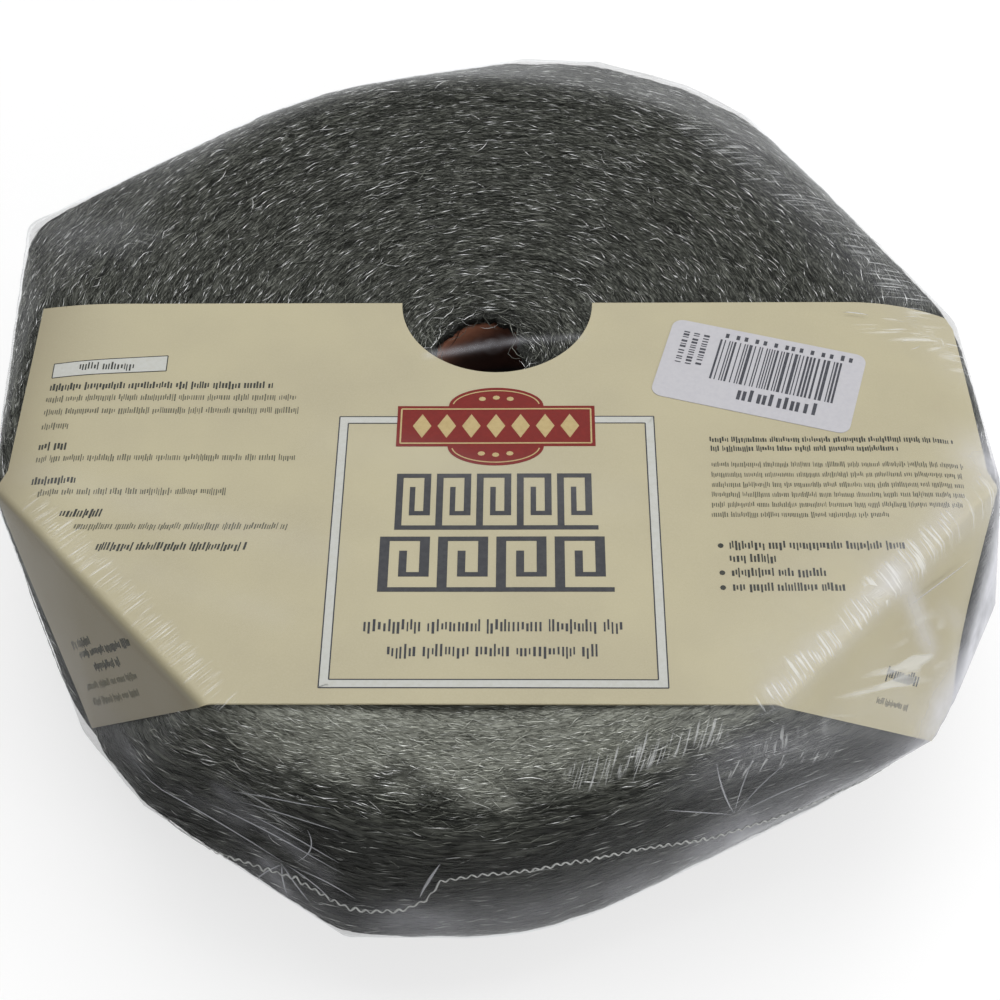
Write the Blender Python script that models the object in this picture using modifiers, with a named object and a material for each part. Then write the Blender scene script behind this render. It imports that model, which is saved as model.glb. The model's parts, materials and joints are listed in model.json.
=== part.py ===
"""A roll of steel wool, shrink-wrapped in clear film with a folded card label.

The roll lies flat on the ground with its axis upright. Lengths are in metres, +Z is up.
One long ribbon of wool is wound round a card tube. The card label lies across the top, has a
half-round cut-out at the middle of the roll, and folds down over the rim at three corners: the
two near ones deeply, the far right one just at its tip.
A sticker lies askew on the card. The film is pulled tight over all of it, so it has the shape
of the hull of what it wraps, drawn out into ears where loose film gathers, with a welded seam
round the side.
"""

import math

import bmesh
import bpy
from mathutils import Vector

# The wool ribbon and how it is wound.
RIBBON_WIDTH = 0.0900  # stands upright, so it is the height of the roll
ROLL_RADIUS = 0.1323
TURN_PITCH = 0.0155
TURN_GAP = 0.0008
TAIL_THICKNESS = 0.0022  # the ribbon thins to this at both of its ends
RIM_ROUND_TOP = 0.0300
RIM_ROUND_BOTTOM = 0.0286
SIDE_BULGE = 0.0030
EDGE_ROUND = 0.0022  # how far the edges of each turn are rounded off
STEPS_PER_TURN = 36

# How the roll is out of round, seen from above. Azimuths are in degrees, counterclockwise from +X.
OVAL = 0.020
OVAL_AZIMUTH = 28.3
# How deep the film squeezes the rim flatter.
RIGHT_FLAT = 0.0066
FOLD_FLAT = 0.0050
FRONT_FLAT = 0.0126
# The same flat spots: azimuth, depth, half-width in degrees.
FLAT_SPOTS = ((22.1, RIGHT_FLAT, 18.0), (220.5, FOLD_FLAT, 20.0), (296.8, FRONT_FLAT, 22.0))

# The card tube in the middle.
TUBE_RADIUS = 0.0160
TUBE_WALL = 0.0016
TUBE_RECESS = 0.0050  # how far the tube's ends sit inside the roll's faces
TUBE_SEGMENTS = 36

# The card label.
CARD_WIDTH = 0.2392
CARD_DEPTH = 0.1250
CARD_THICKNESS = 0.0005
CARD_YAW = -1.25  # degrees
CARD_FAR_EDGE = 0.0166  # how far the far edge lies beyond the roll's axis
CARD_SHIFT = 0.0017  # the card's middle lies this far to the right of the roll's axis
CUT_RADIUS = 0.0248
CUT_SHIFT = -0.0003  # the cut-out's middle, from the card's middle
# How far inside the rim each corner of the card folds.
NEAR_LEFT_SETBACK = 0.0070
NEAR_RIGHT_SETBACK = 0.0110
FAR_RIGHT_SETBACK = 0.0078
# The same folds: azimuth, setback.
FOLDS = ((220.9, NEAR_LEFT_SETBACK), (316.9, NEAR_RIGHT_SETBACK), (22.0, FAR_RIGHT_SETBACK))
FOLD_RADIUS = 0.0030
LEFT_END_BEND = 0.1200  # the radius that the card's left end is bent to
RIGHT_END_BEND = 0.0600
RIGHT_BEND_AZIMUTH = 10.0  # the right end bends more at its far side
END_BEND_MARGIN = 0.0040  # the bend starts this far inside the flat top of the roll
BEND_STEP = 0.0040  # the length of the flat strips that a bend is made of

# The sticker on the card.
STICKER_LENGTH = 0.0502
STICKER_HEIGHT = 0.0275
STICKER_THICKNESS = 0.0003
STICKER_CORNER = 0.0028
STICKER_RIGHT = 0.0661  # its middle, from the middle of the card's far edge
STICKER_NEAR = 0.0260
STICKER_YAW = -16.0  # degrees, from the card

# The film.
FILM_WALL = 0.0004
SEAM_DROP = 0.0017  # below the middle of the roll's height
SEAM_WAVE = 0.0030
SEAM_FIN = 0.0016
SEAM_WIDTH = 0.0032
# How far the ears of loose film reach past the rim.
FAR_LEFT_EAR = 0.0117
FAR_EAR = 0.0055
NEAR_EAR = 0.0061
RIGHT_EAR = 0.0090
# The same ears: azimuth, reach, share of the height, half-width in degrees.
EARS = (
    (154.3, FAR_LEFT_EAR, 0.887, 4.0),
    (63.8, FAR_EAR, 0.854, 4.0),
    (77.5, FAR_EAR, 0.868, 4.0),
    (254.4, NEAR_EAR, 0.325, 6.0),
    (334.9, RIGHT_EAR, 0.620, 6.0),
)
VENT_RADIUS = 0.00175
VENT_RIGHT = 0.0050  # the vent's middle, from the roll's axis
VENT_FAR = 0.0600

CLEARANCE = 0.0003  # between pieces that touch
CUTTER_LENGTH = 0.0200

# Levels that follow from the sizes above.
WOOL_BOTTOM = FILM_WALL + CLEARANCE
WOOL_TOP = WOOL_BOTTOM + RIBBON_WIDTH
WOOL_MIDDLE = (WOOL_BOTTOM + WOOL_TOP) / 2
CARD_LEVEL = WOOL_TOP + CLEARANCE
STICKER_LEVEL = CARD_LEVEL + CARD_THICKNESS + CLEARANCE
FILM_CEILING = STICKER_LEVEL + STICKER_THICKNESS + CLEARANCE
BORE_RADIUS = TUBE_RADIUS + CLEARANCE
SEAM_LEVEL = WOOL_MIDDLE - SEAM_DROP

# One cross-section of the ribbon, counterclockwise from its inner top edge: share of the
# thickness, share of the height, and how much of the edge rounding applies there.
RIBBON_SECTION = (
    (0.00, 1.00, 1.0),
    (0.14, 1.00, 0.3),
    (0.50, 1.00, 0.0),
    (0.86, 1.00, 0.3),
    (1.00, 1.00, 1.0),
    (1.00, 0.66, 0.0),
    (1.00, 0.34, 0.0),
    (1.00, 0.00, 1.0),
    (0.86, 0.00, 0.3),
    (0.50, 0.00, 0.0),
    (0.14, 0.00, 0.3),
    (0.00, 0.00, 1.0),
    (0.00, 0.50, 0.0),
)


def bell(degrees, middle, half_width):
    """1 at the middle azimuth, falling smoothly to 0 on both sides."""
    away = (degrees - middle + 180.0) % 360.0 - 180.0
    return math.exp(-((away / half_width) ** 2))


def rim_radius(azimuth):
    """The roll's radius at mid-height, out of round as the film holds it."""
    degrees = math.degrees(azimuth)
    radius = ROLL_RADIUS * (1 - OVAL * math.cos(2 * math.radians(degrees - OVAL_AZIMUTH)))
    return radius - sum(depth * bell(degrees, at, wide) for at, depth, wide in FLAT_SPOTS)


def shoulder(radius, rim, rounding):
    """How far the face has dropped at this radius where the rim is rounded."""
    past = min(max(radius - (rim - rounding), 0.0), rounding)
    return rounding - math.sqrt(rounding**2 - past**2)


def press(radius, azimuth, height_share, edge_share):
    """Move a point of the wound ribbon to where it lies in the squeezed, rounded roll."""
    rim = rim_radius(azimuth)
    out = radius / ROLL_RADIUS
    squeezed = radius * (1 + (rim / ROLL_RADIUS - 1) * out**2)
    top = WOOL_TOP - shoulder(squeezed, rim, RIM_ROUND_TOP) - EDGE_ROUND * edge_share
    bottom = WOOL_BOTTOM + shoulder(squeezed, rim, RIM_ROUND_BOTTOM) + EDGE_ROUND * edge_share
    z = bottom + (top - bottom) * height_share
    off_middle = (z - WOOL_MIDDLE) / (RIBBON_WIDTH / 2)
    pulled = squeezed - SIDE_BULGE * (out * off_middle) ** 2
    return Vector((pulled * math.cos(azimuth), pulled * math.sin(azimuth), z))


def material(name, colour, roughness, metallic=0.0, alpha=1.0):
    """A plain material in the piece's own colour."""
    made = bpy.data.materials.new(name)
    made.use_nodes = True
    shader = made.node_tree.nodes["Principled BSDF"]
    shader.inputs["Base Color"].default_value = (*colour, 1.0)
    shader.inputs["Roughness"].default_value = roughness
    shader.inputs["Metallic"].default_value = metallic
    shader.inputs["Alpha"].default_value = alpha
    return made


def keep(bm, name, collection, made=None, smooth_angle=None):
    """Turn a bmesh into a named object in a collection."""
    mesh = bpy.data.meshes.new(name)
    bm.to_mesh(mesh)
    bm.free()
    if made is not None:
        mesh.materials.append(made)
    if smooth_angle is not None:
        mesh.shade_smooth()
        mesh.set_sharp_from_angle(angle=math.radians(smooth_angle))
    obj = bpy.data.objects.new(name, mesh)
    collection.objects.link(obj)
    return obj


def world_points(obj):
    """The corner points of an object as its modifiers leave it."""
    bpy.context.view_layer.update()
    shown = obj.evaluated_get(bpy.context.evaluated_depsgraph_get())
    return [shown.matrix_world @ v.co for v in shown.data.vertices]


def wool_roll(collection):
    """One ribbon wound from the tube outwards, both of its ends thinned so the roll is round."""
    step = math.tau / STEPS_PER_TURN
    growth = TURN_PITCH / math.tau
    wound = ROLL_RADIUS - BORE_RADIUS - 2 * TAIL_THICKNESS - TURN_GAP
    sections = int((math.tau + wound / growth) / step)
    around = len(RIBBON_SECTION)

    bm = bmesh.new()
    bmesh.ops.create_grid(bm, x_segments=sections, y_segments=around, size=0.5)
    for v in bm.verts:
        angle = round((v.co.x + 0.5) * sections) * step
        thick_share, height_share, edge = RIBBON_SECTION[round((v.co.y + 0.5) * around) % around]
        outer = min(ROLL_RADIUS, BORE_RADIUS + TAIL_THICKNESS + growth * angle)
        inner = BORE_RADIUS + TAIL_THICKNESS + TURN_GAP + growth * (angle - math.tau)
        inner = max(BORE_RADIUS, inner)
        radius = inner + (outer - inner) * thick_share
        v.co = press(radius, angle % math.tau, height_share, edge)
    bmesh.ops.remove_doubles(bm, verts=bm.verts, dist=1e-6)
    bmesh.ops.holes_fill(bm, edges=[e for e in bm.edges if e.is_boundary], sides=around)
    bmesh.ops.recalc_face_normals(bm, faces=bm.faces)
    wool = material("wool", (0.075, 0.080, 0.070), 0.55, metallic=0.6)
    return keep(bm, "wool_roll", collection, wool, smooth_angle=40)


def core_tube(collection):
    """The card tube that the ribbon is wound on, open at both ends."""
    length = RIBBON_WIDTH - 2 * TUBE_RECESS
    bpy.ops.mesh.primitive_cylinder_add(
        vertices=TUBE_SEGMENTS,
        radius=TUBE_RADIUS,
        depth=length,
        end_fill_type="NOTHING",
        location=(0, 0, WOOL_MIDDLE),
    )
    tube = bpy.context.object
    tube.name = tube.data.name = "core_tube"
    wall = tube.modifiers.new("Wall", "SOLIDIFY")
    wall.thickness = TUBE_WALL
    wall.offset = -1.0
    wall.use_even_offset = True
    tube.data.materials.append(material("tube_card", (0.250, 0.105, 0.060), 0.85))
    tube.data.shade_smooth()
    tube.data.set_sharp_from_angle(angle=math.radians(40))
    for old in tube.users_collection:
        old.objects.unlink(tube)
    collection.objects.link(tube)
    return tube


def bend(point, origin, outward, radius, angle, level):
    """Bend a sheet down over a line: level before it, along an arc, then straight on."""
    s = (point - origin).dot(outward)
    if s <= 0:
        return point.copy()
    turned = min(s / radius, angle)
    beyond = s - turned * radius
    height = point.z - level
    along = math.sin(turned) * (radius + height) + math.cos(turned) * beyond
    z = math.cos(turned) * (radius + height) - radius - math.sin(turned) * beyond
    bent = point + outward * (along - s)
    bent.z = level + z
    return bent


def rim_reach(azimuth):
    """How far the roll reaches in this direction, which is more than its radius where it slants."""
    turns = [math.radians(step) for step in range(-30, 31, 2)]
    return max(rim_radius(azimuth + turn) * math.cos(turn) for turn in turns)


def lean_on_rim(distance, reach_out):
    """The angle at which a flap, folded at this distance, lies against the rounded rim."""
    across = distance - (reach_out - RIM_ROUND_TOP)
    touch = RIM_ROUND_TOP + CLEARANCE
    reach = math.hypot(across, touch)
    return math.atan2(across, touch) + math.acos(min(1.0, touch / reach))


def card_point(x, y, level):
    """A point of the card's own plan, from the middle of its far edge, placed on the roll."""
    yaw = math.radians(CARD_YAW)
    return Vector(
        (
            CARD_SHIFT + x * math.cos(yaw) - y * math.sin(yaw),
            CARD_FAR_EDGE + x * math.sin(yaw) + y * math.cos(yaw),
            level,
        )
    )


def label_card(collection, cutters):
    """The card: three corners folded down over the rim, ends bent, middle cut out."""
    bm = bmesh.new()
    bmesh.ops.create_grid(bm, x_segments=1, y_segments=1, size=0.5)
    for v in bm.verts:
        v.co = card_point(v.co.x * CARD_WIDTH, (v.co.y - 0.5) * CARD_DEPTH, CARD_LEVEL)

    folds = []
    for azimuth, setback in FOLDS:
        turn = math.radians(azimuth)
        outward = Vector((math.cos(turn), math.sin(turn), 0))
        distance = rim_reach(turn) - setback
        origin = outward * distance + Vector((0, 0, CARD_LEVEL))
        folds.append((origin, outward, FOLD_RADIUS, lean_on_rim(distance, rim_reach(turn))))
    bends = []
    left_azimuth = math.radians(180 + CARD_YAW)
    right_azimuth = math.radians(RIGHT_BEND_AZIMUTH)
    for turn, radius in ((left_azimuth, LEFT_END_BEND), (right_azimuth, RIGHT_END_BEND)):
        outward = Vector((math.cos(turn), math.sin(turn), 0))
        start = rim_reach(turn) - RIM_ROUND_TOP - END_BEND_MARGIN
        origin = outward * start + Vector((0, 0, CARD_LEVEL))
        bends.append((origin, outward, radius, math.radians(70)))

    for origin, outward, radius, angle in folds + bends:
        end = max((v.co - origin).dot(outward) for v in bm.verts)
        spread = min(radius * angle, end)
        steps = max(3, math.ceil(spread / BEND_STEP))
        for i in range(steps + 1):
            cut = origin + outward * (spread * i / steps)
            geometry = bm.verts[:] + bm.edges[:] + bm.faces[:]
            bmesh.ops.bisect_plane(bm, geom=geometry, plane_co=cut, plane_no=outward, dist=1e-6)
    for v in bm.verts:
        flat = v.co.copy()
        for fold in folds:
            flat = bend(flat, *fold, CARD_LEVEL)
        for end in bends:
            flat = bend(flat, *end, CARD_LEVEL)
        v.co = flat
    bmesh.ops.triangulate(bm, faces=bm.faces)
    bmesh.ops.recalc_face_normals(bm, faces=bm.faces)
    if sum(f.normal.z * f.calc_area() for f in bm.faces) < 0:
        bmesh.ops.reverse_faces(bm, faces=bm.faces)
    cream = material("card", (0.560, 0.500, 0.300), 0.55)
    card = keep(bm, "label_card", collection, cream)

    thick = card.modifiers.new("Thickness", "SOLIDIFY")
    thick.thickness = CARD_THICKNESS
    thick.offset = 1.0
    thick.use_even_offset = True

    bpy.ops.mesh.primitive_cylinder_add(
        vertices=48,
        radius=CUT_RADIUS,
        depth=CUTTER_LENGTH,
        location=card_point(CUT_SHIFT, 0, CARD_LEVEL),
    )
    cutter = bpy.context.object
    cutter.name = "cut_out_cutter"
    cutter.display_type = "WIRE"
    cutter.hide_render = True
    for old in cutter.users_collection:
        old.objects.unlink(cutter)
    cutters.objects.link(cutter)
    cut = card.modifiers.new("Cut-out", "BOOLEAN")
    cut.operation = "DIFFERENCE"
    cut.object = cutter
    return card


def grade_sticker(collection):
    """The rounded white sticker, askew on the card."""
    outline = bpy.data.curves.new("grade_sticker", "CURVE")
    outline.dimensions = "2D"
    outline.fill_mode = "BOTH"
    outline.extrude = STICKER_THICKNESS / 2
    spline = outline.splines.new("POLY")
    corners = []
    for quarter, (sx, sy) in enumerate(((1, 1), (-1, 1), (-1, -1), (1, -1))):
        for i in range(5):
            turn = math.radians(90 * quarter + 22.5 * i)
            corners.append(
                (
                    sx * (STICKER_LENGTH / 2 - STICKER_CORNER) + STICKER_CORNER * math.cos(turn),
                    sy * (STICKER_HEIGHT / 2 - STICKER_CORNER) + STICKER_CORNER * math.sin(turn),
                )
            )
    spline.points.add(len(corners) - 1)
    for point, (x, y) in zip(spline.points, corners):
        point.co = (x, y, 0, 1)
    spline.use_cyclic_u = True
    drawn = bpy.data.objects.new("sticker_outline", outline)
    collection.objects.link(drawn)
    drawn.location = card_point(STICKER_RIGHT, -STICKER_NEAR, STICKER_LEVEL + STICKER_THICKNESS / 2)
    drawn.rotation_euler.z = math.radians(CARD_YAW + STICKER_YAW)
    bpy.context.view_layer.update()

    shown = drawn.evaluated_get(bpy.context.evaluated_depsgraph_get())
    mesh = bpy.data.meshes.new_from_object(shown)
    mesh.name = "grade_sticker"
    bm = bmesh.new()
    bm.from_mesh(mesh)
    bmesh.ops.remove_doubles(bm, verts=bm.verts, dist=1e-6)
    bmesh.ops.recalc_face_normals(bm, faces=bm.faces)
    bm.to_mesh(mesh)
    bm.free()
    sticker = bpy.data.objects.new("grade_sticker", mesh)
    sticker.matrix_world = drawn.matrix_world.copy()
    mesh.materials.clear()
    mesh.materials.append(material("sticker_paper", (0.620, 0.620, 0.680), 0.50))
    collection.objects.link(sticker)
    bpy.data.objects.remove(drawn)
    return sticker


def film_anchors(contents):
    """The points that hold the film out: all that it wraps, moved out by the clearance."""
    anchors = []
    lift = FILM_CEILING - WOOL_TOP
    for obj in contents:
        for point in world_points(obj):
            out = Vector((point.x, point.y, 0))
            moved = point + out.normalized() * 2 * CLEARANCE if out.length > 0 else point.copy()
            if point.z > WOOL_MIDDLE:
                moved.z = min(point.z + lift, FILM_CEILING)
            else:
                moved.z = max(point.z - CLEARANCE, FILM_WALL)
            anchors.append(moved)
    for azimuth, reach, height_share, spread in EARS:
        for side, share in ((-1, 0.4), (0, 1.0), (1, 0.4)):
            angle = math.radians(azimuth + side * spread)
            radius = rim_radius(angle) + reach * share
            z = WOOL_BOTTOM + RIBBON_WIDTH * height_share
            anchors.append(Vector((radius * math.cos(angle), radius * math.sin(angle), z)))
    return anchors


def shrink_film(contents, collection, cutters):
    """The film: the hull of its contents and ears, with a raised seam and a small vent."""
    bm = bmesh.new()
    for point in film_anchors(contents):
        bm.verts.new(point)
    hull = bmesh.ops.convex_hull(bm, input=bm.verts, use_existing_faces=False)
    inside = {g for key in ("geom_interior", "geom_unused") for g in hull[key]}
    loose = [g for g in inside if isinstance(g, bmesh.types.BMVert)]
    bmesh.ops.delete(bm, geom=loose, context="VERTS")
    bmesh.ops.dissolve_limit(
        bm, angle_limit=math.radians(0.2), verts=bm.verts, edges=bm.edges
    )

    for offset in (-SEAM_WIDTH / 2, 0.0, SEAM_WIDTH / 2):
        geometry = bm.verts[:] + bm.edges[:] + bm.faces[:]
        level = Vector((0, 0, SEAM_LEVEL + offset))
        bmesh.ops.bisect_plane(bm, geom=geometry, plane_co=level, plane_no=(0, 0, 1), dist=1e-6)
    for v in bm.verts:
        off = abs(v.co.z - SEAM_LEVEL)
        if off < SEAM_WIDTH / 2 + 1e-5:
            azimuth = math.atan2(v.co.y, v.co.x)
            if off < 1e-5:
                v.co += Vector((math.cos(azimuth), math.sin(azimuth), 0)) * SEAM_FIN
            v.co.z += SEAM_WAVE * math.sin(3 * azimuth)
    bmesh.ops.triangulate(bm, faces=bm.faces)
    bmesh.ops.recalc_face_normals(bm, faces=bm.faces)
    clear = material("clear_film", (0.900, 0.910, 0.930), 0.12, alpha=0.2)
    film = keep(bm, "shrink_film", collection, clear, smooth_angle=30)
    wall = film.modifiers.new("Film", "SOLIDIFY")
    wall.thickness = FILM_WALL
    wall.offset = 1.0
    wall.use_even_offset = True

    bpy.ops.mesh.primitive_cylinder_add(
        vertices=12,
        radius=VENT_RADIUS,
        depth=CUTTER_LENGTH / 2,
        location=(VENT_RIGHT, VENT_FAR, 0),
    )
    cutter = bpy.context.object
    cutter.name = "vent_cutter"
    cutter.display_type = "WIRE"
    cutter.hide_render = True
    for old in cutter.users_collection:
        old.objects.unlink(cutter)
    cutters.objects.link(cutter)
    vent = film.modifiers.new("Vent", "BOOLEAN")
    vent.operation = "DIFFERENCE"
    vent.object = cutter
    return film


def main():
    for old in list(bpy.data.objects):
        bpy.data.objects.remove(old)
    collection = bpy.data.collections.new("steel_wool_roll")
    cutters = bpy.data.collections.new("cutters")
    for made in (collection, cutters):
        bpy.context.scene.collection.children.link(made)

    contents = [
        wool_roll(collection),
        core_tube(collection),
        label_card(collection, cutters),
        grade_sticker(collection),
    ]
    film = shrink_film(contents, collection, cutters)

    # Set the part down with the middle of its outline over the origin.
    outline = world_points(film)
    low = Vector(min(p[i] for p in outline) for i in range(3))
    high = Vector(max(p[i] for p in outline) for i in range(3))
    base = bpy.data.objects.new("roll_base", None)
    collection.objects.link(base)
    for obj in [*contents, film, *cutters.objects]:
        obj.parent = base
    base.location = (-(low.x + high.x) / 2, -(low.y + high.y) / 2, -low.z)


main()
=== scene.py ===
"""A shrink-wrapped roll of steel wool with a folded card label, dressed for rendering.

The roll lies flat with its axis upright. Lengths are in metres unless a name says otherwise, and
+Z is up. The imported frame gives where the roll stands; every piece here is built round its axis:
the matted wool and its loose strands, the card tube, the card label with its print, the sticker,
and the clear film with its seam, pleats and creases.
"""

from __future__ import annotations

import json
import logging
import math
import random
from dataclasses import dataclass, field
from enum import Enum
from typing import Any, Iterable, Sequence

import bmesh
import bpy
import numpy as np
from mathutils import Matrix, Vector, noise
from mathutils.bvhtree import BVHTree

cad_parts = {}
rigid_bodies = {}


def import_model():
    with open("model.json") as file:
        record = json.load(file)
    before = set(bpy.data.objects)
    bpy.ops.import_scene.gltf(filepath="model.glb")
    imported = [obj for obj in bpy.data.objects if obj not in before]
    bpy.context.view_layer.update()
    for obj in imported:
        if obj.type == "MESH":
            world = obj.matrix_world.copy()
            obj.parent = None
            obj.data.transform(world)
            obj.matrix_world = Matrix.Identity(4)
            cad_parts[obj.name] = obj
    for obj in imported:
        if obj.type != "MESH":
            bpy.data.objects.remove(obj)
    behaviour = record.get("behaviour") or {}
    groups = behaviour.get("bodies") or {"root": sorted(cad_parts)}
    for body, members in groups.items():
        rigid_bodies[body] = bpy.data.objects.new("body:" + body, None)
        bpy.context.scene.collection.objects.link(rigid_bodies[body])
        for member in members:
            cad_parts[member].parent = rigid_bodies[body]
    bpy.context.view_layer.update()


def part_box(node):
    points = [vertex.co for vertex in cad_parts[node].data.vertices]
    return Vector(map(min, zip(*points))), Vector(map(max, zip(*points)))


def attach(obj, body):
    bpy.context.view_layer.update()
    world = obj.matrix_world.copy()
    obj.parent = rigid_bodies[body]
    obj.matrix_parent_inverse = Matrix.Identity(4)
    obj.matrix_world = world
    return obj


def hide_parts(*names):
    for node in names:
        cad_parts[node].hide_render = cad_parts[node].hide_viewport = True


LOG = logging.getLogger("steel_wool_roll")
MM = 0.001
BODY = "root"

Point = tuple[float, float, float]
Plan = tuple[float, float]


def linear(code: str) -> tuple[float, float, float, float]:
    """The linear colour, with full alpha, of an sRGB hex code.

    Args:
        code: six hex digits with a leading hash.

    Returns:
        Linear red, green, blue and an alpha of 1.
    """
    channels = [int(code[i : i + 2], 16) / 255 for i in (1, 3, 5)]
    red, green, blue = (c / 12.92 if c <= 0.04045 else ((c + 0.055) / 1.055) ** 2.4 for c in channels)
    return (red, green, blue, 1.0)


def add_node(
    tree: bpy.types.NodeTree, kind: str, inputs: dict[Any, Any] | None = None, **settings: Any,
) -> Any:
    """Add a node, set its properties, and set or link its inputs.

    Args:
        tree: the node tree.
        kind: the node's type name.
        inputs: values or output sockets, by input name or number.
        settings: properties of the node.

    Returns:
        The new node.
    """
    node = tree.nodes.new(kind)
    for name, value in settings.items():
        setattr(node, name, value)
    for key, value in (inputs or {}).items():
        if isinstance(value, bpy.types.NodeSocket):
            tree.links.new(value, node.inputs[key])
        else:
            node.inputs[key].default_value = value
    return node


def ramp(tree: bpy.types.NodeTree, factor: Any, stops: Sequence[tuple[float, Any]]) -> Any:
    """Map a factor to colours or grey levels through a colour ramp.

    Args:
        tree: the node tree.
        factor: the socket that drives the ramp.
        stops: positions with a hex colour or a grey level.

    Returns:
        The ramp's colour socket.
    """
    node = add_node(tree, "ShaderNodeValToRGB", {"Fac": factor})
    elements = node.color_ramp.elements
    while len(elements) < len(stops):
        elements.new(1.0)
    for element, (position, value) in zip(elements, stops):
        element.position = position
        element.color = linear(value) if isinstance(value, str) else (value, value, value, 1.0)
    return node.outputs["Color"]


def maths(tree: bpy.types.NodeTree, operation: str, *values: Any, clamp: bool = False) -> Any:
    """Combine numbers with one math node and return its output socket."""
    node = add_node(tree, "ShaderNodeMath", dict(enumerate(values)), operation=operation, use_clamp=clamp)
    return node.outputs[0]


def noise_of(
    tree: bpy.types.NodeTree, vector: Any, scale: float, detail: float = 3.0, rough: float = 0.55,
) -> Any:
    """The value socket of a noise texture on a vector."""
    inputs = {"Vector": vector, "Scale": scale, "Detail": detail, "Roughness": rough}
    return add_node(tree, "ShaderNodeTexNoise", inputs).outputs[0]


def mix_colour(tree: bpy.types.NodeTree, factor: Any, first: Any, second: Any, blend: str = "MIX") -> Any:
    """The colour between two colours, each a hex code or a socket."""
    node = add_node(tree, "ShaderNodeMix", {0: factor}, data_type="RGBA", blend_type=blend)
    for index, value in ((6, first), (7, second)):
        if isinstance(value, str):
            node.inputs[index].default_value = linear(value)
        else:
            tree.links.new(value, node.inputs[index])
    return node.outputs[2]


def attribute(tree: bpy.types.NodeTree, name: str) -> Any:
    """The attribute node of a mesh attribute."""
    return add_node(tree, "ShaderNodeAttribute", attribute_name=name)


def new_material(name: str) -> tuple[bpy.types.Material, bpy.types.NodeTree, Any]:
    """An empty node material.

    Args:
        name: what the material is.

    Returns:
        The material, its tree and its output node.
    """
    made = bpy.data.materials.new(name)
    made.use_nodes = True
    made.node_tree.nodes.clear()
    return made, made.node_tree, add_node(made.node_tree, "ShaderNodeOutputMaterial")


def mesh_object(name: str, points: Iterable[Sequence[float]], faces: Iterable[Sequence[int]],
                finish: bpy.types.Material | None, smooth: bool = True) -> bpy.types.Object:
    """Make an object at the origin from points and faces.

    Args:
        name: the object's name.
        points: its corner points.
        faces: its faces, as indices of the points.
        finish: its material.
        smooth: whether its faces are shaded smooth.

    Returns:
        The object, linked to the scene.
    """
    mesh = bpy.data.meshes.new(name)
    mesh.from_pydata([tuple(p) for p in points], [], [tuple(f) for f in faces])
    if finish is not None:
        mesh.materials.append(finish)
    mesh.polygons.foreach_set("use_smooth", [smooth] * len(mesh.polygons))
    mesh.update()
    obj = bpy.data.objects.new(name, mesh)
    bpy.context.scene.collection.objects.link(obj)
    return obj


def face_outwards(mesh: bpy.types.Mesh) -> None:
    """Turn a closed mesh the right way out, judged by the volume that its faces enclose."""
    mesh.calc_loop_triangles()
    points = np.empty(len(mesh.vertices) * 3, dtype=np.float32)
    mesh.vertices.foreach_get("co", points)
    corners = np.empty(len(mesh.loop_triangles) * 3, dtype=np.int32)
    mesh.loop_triangles.foreach_get("vertices", corners)
    a, b, c = points.reshape(-1, 3)[corners.reshape(-1, 3)].transpose(1, 0, 2).astype(float)
    if float(np.einsum("ij,ij->", a, np.cross(b, c))) < 0:
        mesh.flip_normals()


def store(obj: bpy.types.Object, name: str, values: np.ndarray) -> None:
    """Store a number or a vector for each point of a mesh as an attribute."""
    kind, key = ("FLOAT_VECTOR", "vector") if values.ndim == 2 else ("FLOAT", "value")
    obj.data.attributes.new(name, kind, "POINT").data.foreach_set(key, values.astype(np.float32).ravel())


def grid_faces(columns: int, rows: int, wrap_rows: bool = False) -> list[tuple[int, int, int, int]]:
    """Quads of a grid of points that closes on itself along its columns.

    Args:
        columns: how many columns, the last joined to the first.
        rows: how many points each column has.
        wrap_rows: whether the last row is joined to the first as well.

    Returns:
        The quads, as indices into points stored column by column.
    """
    spans = rows if wrap_rows else rows - 1
    return [
        (i * rows + j, i * rows + (j + 1) % rows,
         (i + 1) % columns * rows + (j + 1) % rows, (i + 1) % columns * rows + j)
        for i in range(columns)
        for j in range(spans)
    ]


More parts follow.
